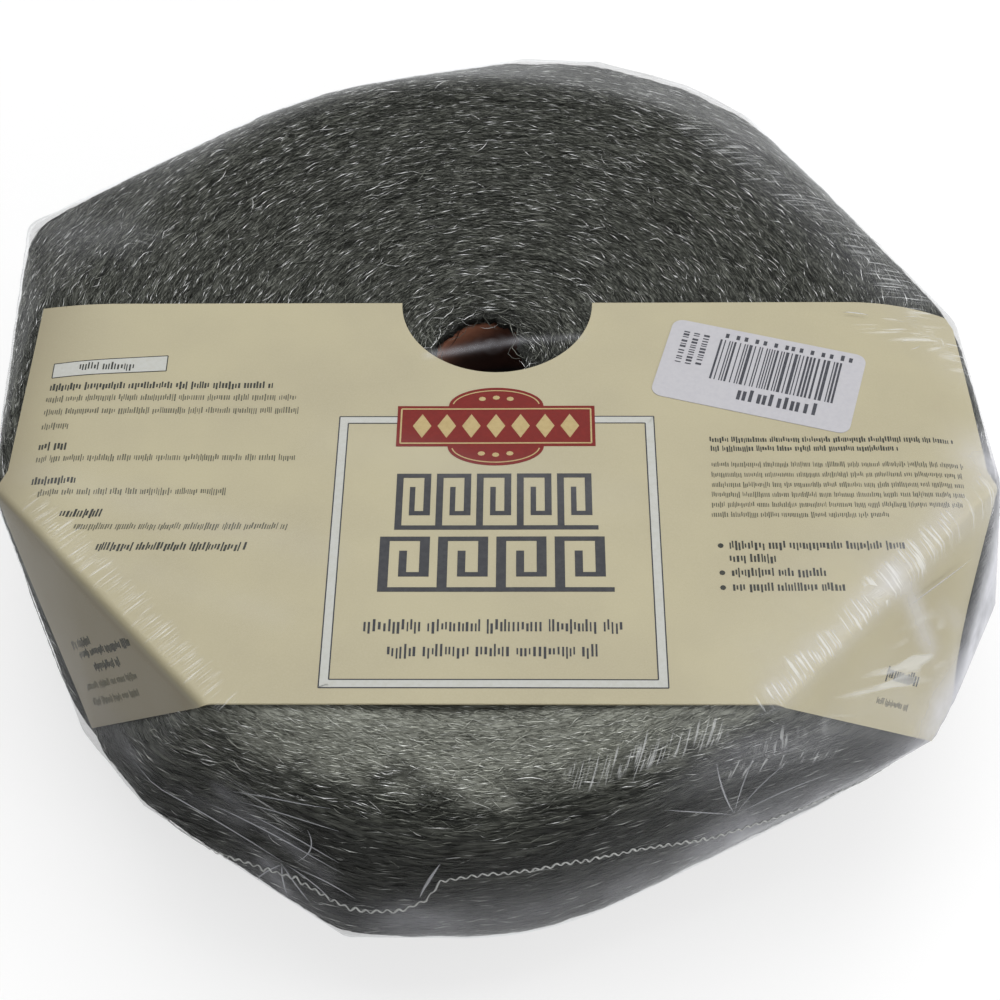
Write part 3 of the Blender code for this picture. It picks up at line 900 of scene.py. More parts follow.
    def _painted_lighting(self, points: np.ndarray, normals: np.ndarray) -> np.ndarray:
        """How lit the wool is painted, from 0 to 1: fully on the top, with painted shade on the side and
        underside, which turn from the light, and in the bore.
        """
        facing = np.clip(normals[..., 2] * 1.4 + 0.25, 0.12, 1.0)
        radius = np.hypot(points[..., 0], points[..., 1])
        return np.where(radius < self.shape.bore * 1.02, 0.15, facing)

    def _painted_sheen(self, points: np.ndarray, normals: np.ndarray) -> np.ndarray:
        """How much painted sheen the wool gets along the near edge of the top, where its shoulder catches the
        light.
        """
        ragged = np.array([
            noise.noise(Vector(p) * 70.0) + noise.noise(Vector(p) * 240.0) for p in points.reshape(-1, 3)
        ])
        ragged = ragged.reshape(points.shape[:2])
        near = np.clip((-points[..., 1] - 0.096) / 0.008, 0, 1)
        middle = np.exp(-(((points[..., 0] - 0.004) / 0.068) ** 6))
        return near * middle * np.clip((normals[..., 2] - 0.52 + 0.16 * ragged) / 0.2, 0, 1)

    def strands(self, body: bpy.types.Object, card: BVHTree) -> list[bpy.types.Object]:
        """Lay the strands over the body, clear of what the card covers.

        Args:
            body: the matted body.
            card: the card's faces.

        Returns:
            The strand objects.
        """
        flat_points, flat_normals = self.points.reshape(-1, 3), self.normals.reshape(-1, 3)
        reach = 5 * MM
        bare = np.array([
            card.ray_cast(Vector(p), Vector(n), reach)[0] is None
            and card.ray_cast(Vector(p), Vector((0, 0, 1)), reach)[0] is None
            for p, n in zip(flat_points, flat_normals)
        ], dtype=float)
        up = flat_normals[:, 2]
        radius = np.hypot(flat_points[:, 0] - self.shape.axis[0], flat_points[:, 1] - self.shape.axis[1])
        mouth = np.repeat(self.mouth, self.points.shape[1])
        outside = (radius > mouth + 0.8 * MM).astype(float)
        top = np.clip((up - 0.25) / 0.35, 0, 1) * bare * outside
        side = np.clip(1 - np.abs(up) * 1.1, 0, 1) * bare * outside
        base = np.clip((-up - 0.4) / 0.3, 0, 1) * outside
        store(body, "top_cover", top)
        store(body, "side_cover", side)
        store(body, "base_cover", base)
        lip = np.exp(-(((radius - mouth - 2.5 * MM) / (3.0 * MM)) ** 2))
        store(body, "bore_cover", lip * (up > 0.5) * bare)
        short = [
            StrandKind(4.6 * MM, 0.18 * MM, b * MM, l * MM, 1)
            for b, l in ((0.3, 0.0), (-0.3, 0.05), (0.12, 0.1))
        ]
        long = [
            StrandKind(7.0 * MM, 0.18 * MM, b * MM, l * MM, 3)
            for b, l in ((0.9, 0.1), (-0.9, 0.1), (0.4, 0.15), (-1.6, 0.05))
        ]
        curls = [
            StrandKind(9 * MM, 0.22 * MM, b * MM, l * MM, 5) for b, l in ((2.8, 0.5), (-3.1, 0.4), (1.7, 0.6))
        ]
        steel = SteelStrand("steel_strands").build()
        # A darker copy of the strand finish: painted shade on the strands of the side and underside.
        dark = SteelStrand(
            "shaded_steel_strands", "#0b0c0b", "#21221f", "#4a4b48", "#b9bbb7", "#919388", 0.42,
        ).build()
        top_layer = StrandLayer("top_cover", "grain")
        side_layer = StrandLayer("side_cover", "grain")
        base_layer = StrandLayer("base_cover", "grain")
        curl_layer = StrandLayer("bore_cover", "grain")
        return [
            top_layer.lay("wool_top_strands_a", body, short, 0.93e6, Lay.COMBED, steel, 3, (0.6, 1.5)),
            top_layer.lay("wool_top_strands_b", body, short, 0.93e6, Lay.LOOSE, steel, 4, (0.4, 1.2)),
            top_layer.lay("wool_top_wires", body, long, 0.11e6, Lay.LOOSE, steel, 5, (0.4, 1.2), 0.3 * MM),
            side_layer.lay("wool_side_strands", body, short, 0.50e6, Lay.COMBED, dark, 6, (0.6, 1.5)),
            side_layer.lay("wool_side_wires", body, long, 0.022e6, Lay.LOOSE, steel, 7, (0.3, 0.7), 0.2 * MM),
            base_layer.lay("wool_base_strands", body, short, 0.14e6, Lay.LOOSE, dark, 8, (0.6, 1.5), 0.0),
            curl_layer.lay("wool_bore_curls", body, curls, 0.36e6, Lay.WILD, steel, 9, (0.5, 1.0), 0.6 * MM),
        ]


@dataclass
class CoreTube:
    """The card tube in the middle, its mouth a little frayed."""

    shape: RollShape
    radius: float = 0.0160
    wall: float = 0.0016
    recess: float = 0.0050
    columns: int = 120
    fray: float = 0.0003

    def build(self) -> bpy.types.Object:
        """One closed wall, from its outer face over the mouth and down inside."""
        low, high = self.shape.bottom + self.recess, self.shape.top - self.recess
        inner = self.radius - self.wall
        profile = [(self.radius, low), (self.radius, (low + high) / 2), (self.radius, high - 0.3 * MM),
                   (self.radius - 0.3 * MM, high), (inner + 0.3 * MM, high), (inner, high - 0.3 * MM),
                   (inner, (low + high) / 2), (inner, low)]
        points = []
        for column in range(self.columns):
            turn = math.tau * column / self.columns
            frayed = self.fray * noise.noise(Vector((math.cos(turn) * 4, math.sin(turn) * 4, 0.3)))
            for radius, height in profile:
                lifted = height + (frayed if height > self.shape.middle * 1.5 else 0.0)
                points.append((self.shape.axis[0] + radius * math.cos(turn),
                               self.shape.axis[1] + radius * math.sin(turn), lifted))
        faces = grid_faces(self.columns, len(profile), True)
        tube = mesh_object("core_board_tube", points, faces, TubeBoard().build())
        face_outwards(tube.data)
        return tube


# The card label.


@dataclass
class LabelCard:
    """The card label: cut out round the bore, near corners folded over the rim, ends drooping."""

    shape: RollShape
    width: float = 0.2392
    depth: float = 0.1250
    thickness: float = 0.0005
    yaw: float = -1.25
    far_edge: float = 0.0166
    shift: float = 0.0017
    cut_radius: float = 0.0248
    cut_shift: float = -0.0003
    # Azimuth in degrees of each folded corner, and how far inside the rim it folds.
    folds: tuple[Plan, ...] = ((220.9, 0.0070), (316.9, 0.0110), (22.0, 0.0078))
    fold_radius: float = 0.0016
    # Azimuth in degrees of each drooping end, and the radius that it is bent to.
    droops: tuple[Plan, ...] = ((178.75, 0.1200), (10.0, 0.0600))
    end_margin: float = 0.0040
    # Where the near flaps start on the card's ends, and how far their edges bow and flare out.
    flap_from: float = 0.0560
    right_flap: Plan = (0.0092, 0.0040)
    left_flap: Plan = (0.0090, 0.0024)
    clearance: float = 0.0003
    wave: float = 0.00012
    cell: float = 0.0022
    bends: list[tuple[Vector, Vector, float, float]] = field(default_factory=list)

    def __post_init__(self) -> None:
        """Work out the lines that the card bends over."""
        self.level = self.shape.top + self.clearance
        for azimuth, setback in self.folds:
            turn = math.radians(azimuth)
            outward = Vector((math.cos(turn), math.sin(turn), 0))
            distance = self._reach(turn) - setback
            self.bends.append((outward * distance, outward, self.fold_radius, self._lean(distance, turn)))
        for azimuth, radius in self.droops:
            turn = math.radians(azimuth)
            outward = Vector((math.cos(turn), math.sin(turn), 0))
            start = self._reach(turn) - self.shape.round_top - self.end_margin
            self.bends.append((outward * start, outward, radius, math.radians(70)))

    def _reach(self, turn: float) -> float:
        """How far the roll reaches in a direction, which is more than its radius where it slants."""
        around = np.radians(np.arange(-30, 31, 2))
        return float(np.max(self.shape.rim(turn + around) * np.cos(around)))

    def _lean(self, distance: float, turn: float) -> float:
        """The angle at which a flap, folded at this distance, lies against the rounded rim."""
        across = distance - (self._reach(turn) - self.shape.round_top)
        touch = self.shape.round_top + self.clearance
        reach = math.hypot(across, touch)
        return math.atan2(across, touch) + math.acos(min(1.0, touch / reach))

    def plan(self, x: float, y: float) -> Vector:
        """A point of the card's plan about the roll's axis, flat; y is 0 at the far edge."""
        yaw = math.radians(self.yaw)
        return Vector((self.shift + x * math.cos(yaw) - y * math.sin(yaw),
                       self.far_edge + x * math.sin(yaw) + y * math.cos(yaw), 0.0))

    def _swell(self, x: float, y: float) -> float:
        """How far the outer edge of a near flap bows out past a straight cut."""
        bow, flare = self.right_flap if x > 0 else self.left_flap
        share = min(max((-y - self.flap_from) / (self.depth - self.flap_from), 0.0), 1.0)
        out = bow * math.sin(math.pi * share) + flare * share * share * (3 - 2 * share)
        return math.copysign(out, x) * min(max((abs(x) - 0.090) / (self.width / 2 - 0.090), 0.0), 1.0)

    def bent(self, flat: Vector, height: float) -> Vector:
        """Fold and bend a point of the plan.

        Args:
            flat: the point about the roll's axis, with z 0.
            height: how far above the card's underside it lies.

        Returns:
            The point where the roll stands.
        """
        point = flat.copy()
        ripple = noise.noise(Vector((flat.x * 26, flat.y * 26, 3.0)))
        point.z = height + self.wave * (1 + ripple)
        for origin, outward, radius, angle in self.bends:
            s = (Vector((point.x, point.y, 0)) - origin).dot(outward)
            if s <= 0:
                continue
            turned = min(s / radius, angle)
            beyond = s - turned * radius
            tall = point.z
            along = math.sin(turned) * (radius + tall) + math.cos(turned) * beyond
            point = point + outward * (along - s)
            point.z = math.cos(turned) * (radius + tall) - radius - math.sin(turned) * beyond
        return point + Vector((self.shape.axis[0], self.shape.axis[1], self.level))

    def on_card(self, x_mm: float, y_mm: float, lift: float = 0.0) -> Vector:
        """A point of the printed face, given in millimetres of the card's plan."""
        return self.bent(self.plan(x_mm * MM, y_mm * MM), self.thickness + lift)

    def _columns(self) -> list[float]:
        """Where the card's grid has its columns: close together round the cut-out."""
        left, right = self.cut_shift - self.cut_radius, self.cut_shift + self.cut_radius
        count = 48
        arc = [self.cut_shift - self.cut_radius * math.cos(math.pi * i / count) for i in range(count + 1)]
        outer = int((self.width / 2 + left) / self.cell)
        before = [-self.width / 2 + (left + self.width / 2) * i / outer for i in range(outer)]
        after = [right + (self.width / 2 - right) * (i + 1) / outer for i in range(outer)]
        return before + arc + after

    def build(self) -> bpy.types.Object:
        """The card as one closed sheet."""
        columns = self._columns()
        rows = int(self.depth / self.cell)
        bm = bmesh.new()
        grid = []
        for x in columns:
            inside = self.cut_radius**2 - (x - self.cut_shift) ** 2
            far = -math.sqrt(inside) if inside > 0 else 0.0
            levels = [-self.depth + (far + self.depth) * r / rows for r in range(rows + 1)]
            grid.append([bm.verts.new(self.plan(x + self._swell(x, y), y)) for y in levels])
        for i in range(len(columns) - 1):
            for j in range(rows):
                bm.faces.new((grid[i][j], grid[i + 1][j], grid[i + 1][j + 1], grid[i][j + 1]))
        for origin, outward, radius, angle in self.bends[: len(self.folds)]:
            for step in range(7):
                cut = origin + outward * (radius * angle * step / 6)
                geometry = bm.verts[:] + bm.edges[:] + bm.faces[:]
                bmesh.ops.bisect_plane(bm, geom=geometry, plane_co=cut, plane_no=outward, dist=1e-6)
        flats = [v.co.copy() for v in bm.verts]
        for v, flat in zip(bm.verts, flats):
            v.co = self.bent(flat, 0.0)
        mesh = bpy.data.meshes.new("card_label")
        bm.normal_update()
        bm.to_mesh(mesh)
        bm.free()
        mesh.materials.append(CoatedCard().build())
        card = bpy.data.objects.new("card_label", mesh)
        bpy.context.scene.collection.objects.link(card)
        wall = card.modifiers.new("Thickness", "SOLIDIFY")
        wall.thickness = self.thickness
        wall.offset = 1.0
        bpy.context.view_layer.update()
        shown = card.evaluated_get(bpy.context.evaluated_depsgraph_get())
        card.data = bpy.data.meshes.new_from_object(shown)
        card.modifiers.clear()
        card.data.shade_smooth()
        card.data.set_sharp_from_angle(angle=math.radians(50))
        return card


class PrintPlate:
    """Collects the shapes of one ink and lays them on the card as thin closed patches."""

    def __init__(self, name: str, card: LabelCard, finish: PrintInk, proud: float = 0.00004) -> None:
        """Start an empty plate.

        Args:
            name: the object's name.
            card: the card that is printed.
            finish: the ink.
            proud: how far the ink stands above the card.
        """
        self.name, self.card, self.finish, self.proud = name, card, finish, proud
        self.points: list[Vector] = []
        self.faces: list[tuple[int, ...]] = []

    def polygon(self, corners: Sequence[Plan]) -> None:
        """Add one convex shape, its corners counterclockwise in millimetres of the card's plan."""
        start, count = len(self.points), len(corners)
        for lift in (self.proud, -2 * self.proud):
            self.points += [self.card.on_card(x, y, lift) for x, y in corners]
        self.faces.append(tuple(range(start, start + count)))
        self.faces.append(tuple(range(start + 2 * count - 1, start + count - 1, -1)))
        for i in range(count):
            j = (i + 1) % count
            self.faces.append((start + j, start + i, start + count + i, start + count + j))

    def panel(self, corners: Sequence[Plan], across: int, up: int) -> None:
        """Add a four-sided field in cells, so that it follows the card.

        Args:
            corners: its corners, counterclockwise from the near left one.
            across: how many cells it has along its near side.
            up: how many cells it has along its left side.
        """
        a, b, c, d = (Vector(corner) for corner in corners)

        def at(i: int, j: int) -> Plan:
            return tuple(a.lerp(b, i / across).lerp(d.lerp(c, i / across), j / up))

        for i in range(across):
            for j in range(up):
                self.polygon((at(i, j), at(i + 1, j), at(i + 1, j + 1), at(i, j + 1)))

    def box(self, x0: float, y0: float, x1: float, y1: float, slant: float = 0.0) -> None:
        """Add an upright or slanted box between two corners."""
        lean = slant * (y1 - y0)
        self.polygon(((x0, y0), (x1, y0), (x1 + lean, y1), (x0 + lean, y1)))

    def line(self, start: Plan, end: Plan, width: float, pieces: int = 20) -> None:
        """Add a straight line of a width, in several pieces so that it follows the card."""
        a, b = Vector(start), Vector(end)
        across = (b - a).normalized() * width / 2
        side = Vector((-across.y, across.x))
        for i in range(pieces):
            p, q = a.lerp(b, i / pieces), a.lerp(b, (i + 1) / pieces)
            self.polygon((tuple(p - side), tuple(q - side), tuple(q + side), tuple(p + side)))

    def build(self) -> bpy.types.Object:
        """The plate's object."""
        return mesh_object(self.name, self.points, self.faces, self.finish.build(), smooth=False)


@dataclass(frozen=True)
class TextRow:
    """A row of small print, shown as a row of plain blocks: where it runs and how tall it is."""

    left: float
    right: float
    level: float
    height: float = 1.5
    bold: bool = False
    slant: float = 0.0


@dataclass
class LabelPrint:
    """All that is printed on the card, in fields of colour and plain shapes."""

    card: LabelCard
    rng: random.Random = field(default_factory=lambda: random.Random(12))
    left_rows: tuple[TextRow, ...] = (
        TextRow(-113.1, -55.8, -29.3, 1.7, True), TextRow(-113.5, -50.4, -33.4),
        TextRow(-113.3, -48.8, -37.8),
        TextRow(-113.1, -105.9, -42.5), TextRow(-112.8, -105.4, -49.1, 1.8, True),
        TextRow(-112.8, -48.7, -53.3),
        TextRow(-112.7, -101.5, -60.3, 1.8, True), TextRow(-110.6, -65.0, -64.1),
        TextRow(-104.3, -94.4, -70.9, 1.8, True, 0.2),
        TextRow(-100.3, -49.2, -74.9, slant=0.2), TextRow(-94.2, -58.1, -81.0, 1.7, True, 0.2),
    )
    right_rows: tuple[TextRow, ...] = (
        TextRow(52.3, 112.2, -47.7, 1.3, True), TextRow(52.4, 98.4, -50.6, 1.3, True),
        TextRow(52.3, 113.5, -55.7, 1.2),
        TextRow(52.1, 113.0, -58.9, 1.2), TextRow(52.0, 112.6, -62.1, 1.2), TextRow(51.8, 112.2, -65.2, 1.2),
        TextRow(51.6, 111.7, -68.3, 1.2), TextRow(51.4, 93.5, -71.4, 1.2),
        TextRow(55.0, 96.6, -80.7, 1.8, True),
        TextRow(54.8, 67.1, -84.6, 1.8, True), TextRow(55.0, 77.6, -88.7, 1.8, True),
        TextRow(55.0, 81.3, -93.0, 1.8, True),
    )
    title_rows: tuple[TextRow, ...] = (TextRow(-29.8, 29.9, -104.1, 2.6), TextRow(-24.1, 24.1, -111.0, 2.6))
    flap_rows: tuple[TextRow, ...] = (
        TextRow(-121.0, -104.0, -104.0, 1.6, True), TextRow(-113.0, -84.0, -106.8, 1.6, True),
        TextRow(-107.0, -93.0, -110.6, 1.6, True), TextRow(-116.0, -88.0, -114.8, 1.4),
        TextRow(-115.0, -90.0, -118.8, 1.4), TextRow(98.0, 112.5, -112.0, 2.4, True),
        TextRow(97.0, 110.0, -118.6, 1.2),
    )
    bullets: tuple[Plan, ...] = ((52.9, -80.7), (52.8, -88.7), (52.7, -93.0))
    frame: tuple[float, float, float, float] = (-37.9, -119.7, 37.8, -41.0)
    band: float = 2.2
    plaque: tuple[float, float, float, float] = (-24.7, -49.7, 24.3, -36.4)
    medallion: Plan = (11.8, 6.2)

    def _row(self, plate: PrintPlate, row: TextRow) -> None:
        """Set a row of print as blocks in word-long groups."""
        x = row.left
        while x < row.right - 0.6:
            word = self.rng.randint(4, 16)
            for _ in range(word):
                wide = row.height * self.rng.uniform(0.13, 0.24) * (1.35 if row.bold else 1.0)
                if x + wide > row.right:
                    break
                rise = self.rng.choice((-0.15, 0.0, 0.0, 0.3)) * row.height
                drop = self.rng.choice((-0.2, 0.0, 0.0, 0.0, 0.25)) * row.height
                low, high = row.level - row.height / 2 - drop, row.level + row.height / 2 + rise
                plate.box(x, low, x + wide, high, row.slant)
                x += wide + row.height * self.rng.uniform(0.14, 0.24)
            x += row.height * 0.42

    def _key_band(self, plate: PrintPlate, x0: float, y0: float, x1: float, y1: float, units: int) -> None:
        """A band of upright key pattern, drawn with thick stems and thin ties."""
        pitch = (x1 - x0) / units
        stem, tie = 0.17 * pitch, 1.3
        for i in range(units):
            x = x0 + i * pitch
            wide = pitch * 0.86
            plate.box(x, y0, x + stem, y1)
            plate.box(x + stem, y1 - tie, x + wide, y1)
            plate.box(x + wide - stem, y0 + 4.4, x + wide, y1 - tie)
            plate.box(x + 2 * stem, y0 + 4.4, x + wide - stem, y0 + 4.4 + tie)
            plate.box(x + 2 * stem, y0 + 4.4 + tie, x + 2 * stem + stem * 0.8, y1 - 4.2)
            plate.box(x + stem, y0, x + pitch, y0 + tie)

    def _net_box(self, pale: PrintPlate, dark: PrintPlate) -> None:
        """The pale box at the card's far left, outlined, with one short row in it."""
        corners = ((-113.2, -25.8), (-84.2, -24.2), (-84.3, -18.9), (-113.3, -20.9))
        pale.panel(corners, 12, 3)
        for a, b in zip(corners, corners[1:] + corners[:1]):
            dark.line(a, b, 0.25, 6)
        self._row(dark, TextRow(-106.5, -92.0, -22.6, 2.0))

    def _title_panel(self, pale: PrintPlate, dark: PrintPlate) -> None:
        """The white band with a line on both its sides, like a picture frame."""
        x0, y0, x1, y1 = self.frame
        half = self.band / 2
        sides = (((x0, y0), (x1, y0)), ((x1, y0), (x1, y1)), ((x1, y1), (x0, y1)), ((x0, y1), (x0, y0)))
        for (ax, ay), (bx, by) in sides:
            flat = ay == by
            reach = (half, 0.0) if flat else (0.0, half)
            low, high = min(ax, bx) - reach[0], max(ax, bx) + reach[0]
            near, far = min(ay, by) - reach[1], max(ay, by) + reach[1]
            if flat:
                pale.line((low, ay), (high, ay), self.band)
            else:
                pale.line((ax, near), (ax, far), self.band)
        for grow in (-half, half):
            ring = (
                (x0 - grow, y0 - grow), (x1 + grow, y0 - grow),
                (x1 + grow, y1 + grow), (x0 - grow, y1 + grow),
            )
            for a, b in zip(ring, ring[1:] + ring[:1]):
                dark.line(a, b, 0.30)

    def _plaque(self, red: PrintPlate, gold: PrintPlate) -> None:
        """A plain red plaque with a round field behind it, edged in gold, with a row of lozenges."""
        x0, y0, x1, y1 = self.plaque
        middle, level = (x0 + x1) / 2, (y0 + y1) / 2
        half, rise = self.medallion
        red.panel(((x0, y0), (x1, y0), (x1, y1), (x0, y1)), 24, 6)
        for side, edge in ((1, y1), (-1, y0)):
            turns = [math.pi * i / 24 for i in range(25)]
            arc = [(middle + half * math.cos(t), edge + side * rise * math.sin(t)) for t in turns]
            red.polygon(arc if side > 0 else list(reversed(arc)))
            rim = [
                (middle + (half - 1) * math.cos(t), edge + side * (rise - 1) * math.sin(t))
                for t in turns[1:-1]
            ]
            for a, b in zip(rim, rim[1:]):
                gold.line(a, b, 0.3, 1)
            for turn in (0.9, math.pi / 2, math.pi - 0.9):
                x, y = middle + 5.6 * math.cos(turn), edge + side * (0.9 + 1.9 * math.sin(turn))
                gold.polygon([
                    (x + 0.9 * math.cos(t), y + 0.7 * math.sin(t)) for t in np.linspace(0, math.tau, 9)[:-1]
                ])
        for y in (y0 + 1.0, y1 - 1.0):
            gold.line((x0 + 1.0, y), (x1 - 1.0, y), 0.4)
        for x in (x0 + 1.0, x1 - 1.0):
            gold.line((x, y0 + 1.0), (x, y1 - 1.0), 0.4, 4)
        for i in range(7):
            x, wide, tall = x0 + 3.2 + (x1 - x0 - 6.4) * (i + 0.5) / 7, 2.3, 3.9
            gold.polygon(((x - wide, level), (x, level - tall), (x + wide, level), (x, level + tall)))
            red.line((x - 0.9, level), (x + 0.9, level), 1.6, 1)

    def build(self) -> list[bpy.types.Object]:
        """Print the card.

        Returns:
            One object for each ink.
        """
        card = self.card
        pale = PrintPlate("label_print_white", card, PrintInk("white_print", "#bfc0bb", "#b5b5ab"), 0.00003)
        dark = PrintPlate("label_print_dark", card, PrintInk("dark_print", "#2c2e2b", "#45463d"), 0.00006)
        soft = PrintPlate("label_print_soft", card, PrintInk("soft_print", "#5a584a", "#6f6c58"), 0.00005)
        slate = PrintPlate("label_print_slate", card, PrintInk("slate_print", "#35363a", "#47484a"), 0.00005)
        red = PrintPlate("label_print_red", card, PrintInk("red_print", "#6c150f", "#7c1c14"), 0.00008)
        gold = PrintPlate("label_print_gold", card, PrintInk("gold_print", "#b8a476", "#a58f60"), 0.00012)
        for row in (*self.left_rows, *self.right_rows, *self.flap_rows):
            self._row(dark if row.bold else soft, row)
        for row in self.title_rows:
            self._row(slate, row)
        for x, y in self.bullets:
            dark.polygon([
                (x + 0.7 * math.cos(t), y + 0.7 * math.sin(t)) for t in np.linspace(0, math.tau, 9)[:-1]
            ])
        self._net_box(pale, dark)
        self._title_panel(pale, slate)
        self._plaque(red, gold)
        self._key_band(slate, -24.0, -75.9, 24.4, -58.5, 5)
        self._key_band(slate, -27.2, -94.2, 27.7, -78.0, 4)
        return [plate.build() for plate in (pale, dark, soft, slate, red, gold)]


@dataclass
class GradeSticker:
    """The rounded white sticker, askew on the card, with plain bars."""

    card: LabelCard
    length: float = 50.2
    height: float = 27.5
    corner: float = 2.8
    right: float = 66.1
    near: float = 26.0
    yaw: float = -16.0
    thickness: float = 0.00016

    def _place(self, x: float, y: float) -> Plan:
        """A point of the sticker, in millimetres, on the card's plan."""
        yaw = math.radians(self.yaw)
        return (self.right + x * math.cos(yaw) - y * math.sin(yaw),
                -self.near + x * math.sin(yaw) + y * math.cos(yaw))

    def build(self) -> list[bpy.types.Object]:
        """The paper and its bars.

        Returns:
            Two objects.
        """
        white = PrintInk("white_sticker_paper", "#bdbcc0", "#b3b2b8")
        paper = PrintPlate("sticker_paper", self.card, white, self.thickness)
        corners = []
        for quarter, (sx, sy) in enumerate(((1, 1), (-1, 1), (-1, -1), (1, -1))):
            for i in range(7):
                turn = math.radians(90 * quarter + 15 * i)
                x = sx * (self.length / 2 - self.corner) + self.corner * math.cos(turn)
                y = sy * (self.height / 2 - self.corner) + self.corner * math.sin(turn)
                corners.append(self._place(x, y))
        paper.polygon(corners)
        ink = PrintInk("sticker_ink", "#3a3b41", "#55565e")
        bars = PrintPlate("sticker_bars", self.card, ink, self.thickness + 0.00004)
        rng = random.Random(5)
        x = -12.0
        while x < 19.5:
            wide = rng.choice((0.3, 0.3, 0.55, 0.8))
            bars.polygon([self._place(*p) for p in ((x, -4.6), (x + wide, -4.6), (x + wide, 9.6), (x, 9.6))])
            x += wide + rng.choice((0.35, 0.35, 0.6, 0.9))
        self._blocks(bars, rng, -11.0, 22.0, 11.2, 1.5, 0.9, 1.2)
        self._blocks(bars, rng, -4.0, 17.5, -8.2, 3.2, 0.9, 0.75)
        for left in (-21.6, -19.0, -16.4):
            level = 10.0
            while level > -1.0:
                tall = rng.choice((0.3, 0.4, 0.7))
                low = level - tall
                corners = ((left, low), (left + 1.5, low), (left + 1.5, level), (left, level))
                bars.polygon([self._place(*p) for p in corners])
                level = low - rng.choice((0.4, 0.55, 0.9))
        return [paper.build(), bars.build()]

    def _blocks(self, bars: PrintPlate, rng: random.Random, x0: float, x1: float, y: float,
                tall: float, wide: float, gap: float) -> None:
        """A row of plain blocks from x0 to x1."""
        x = x0
        while x + wide < x1:
            rise = rng.choice((0.0, 0.0, 0.25)) * tall
            bars.polygon([self._place(*p) for p in (
                (x, y - tall / 2), (x + wide, y - tall / 2),
                (x + wide, y + tall / 2 + rise), (x, y + tall / 2 + rise))])
            x += wide + gap * rng.choice((0.6, 1.0, 1.6))


# The film.


@dataclass(frozen=True)
class Zone:
    """A stretch of film, as a line with a soft width, all in millimetres about the roll's axis."""

    start: Point
    end: Point
    reach: float
    amount: float
    pull: Point = (1.0, 0.0, 0.0)
    size: float = 1.0
    fan_from: Point | None = None
    ticks: float = 1.0
    fine: float = 1.0

    def weight(self, points: np.ndarray) -> np.ndarray:
        """How strongly the zone acts at each point, from 0 to 1."""
        a, b = np.array(self.start), np.array(self.end)
        along = b - a
        share = np.clip(((points - a) @ along) / max(float(along @ along), 1e-9), 0, 1)
        away = np.linalg.norm(points - (a + share[:, None] * along), axis=1)
        return np.exp(-((away / self.reach) ** 2))

    def direction(self, points: np.ndarray) -> np.ndarray:
        """The way that the film is pulled at each point."""
        if self.fan_from is None:
            return np.tile(np.array(self.pull), (len(points), 1))
        ray = points - np.array(self.fan_from)
        return ray / np.maximum(np.linalg.norm(ray, axis=1, keepdims=True), 1e-6)


    def places(self, points: np.ndarray) -> tuple[np.ndarray, np.ndarray]:
        """Where each point lies across the pleats of the zone and along them, in millimetres."""
        if self.fan_from is not None:
            tip = np.array(self.fan_from)
            middle = (np.array(self.start) + np.array(self.end)) / 2 - tip
            ray = points - tip
            cross = middle[0] * ray[:, 1] - middle[1] * ray[:, 0]
            dot = middle[0] * ray[:, 0] + middle[1] * ray[:, 1]
            turn = np.arctan2(cross, dot)
            return turn * np.linalg.norm(middle), np.linalg.norm(ray, axis=1)
        line = np.array(self.end) - np.array(self.start)
        line = line / np.linalg.norm(line)
        pull = np.array(self.pull) / np.linalg.norm(self.pull)
        slope = float(pull @ line)
        side = pull - slope * line
        steep = float(np.linalg.norm(side))
        away = points - np.array(self.start)
        along = away @ side / steep**2
        return away @ line - slope * along, along


@dataclass(frozen=True)
class Ridge:
    """A long crease on the film: where it starts, leans and ends, in millimetres, and its width."""

    path: tuple[Point, Point, Point]
    width: float = 0.5


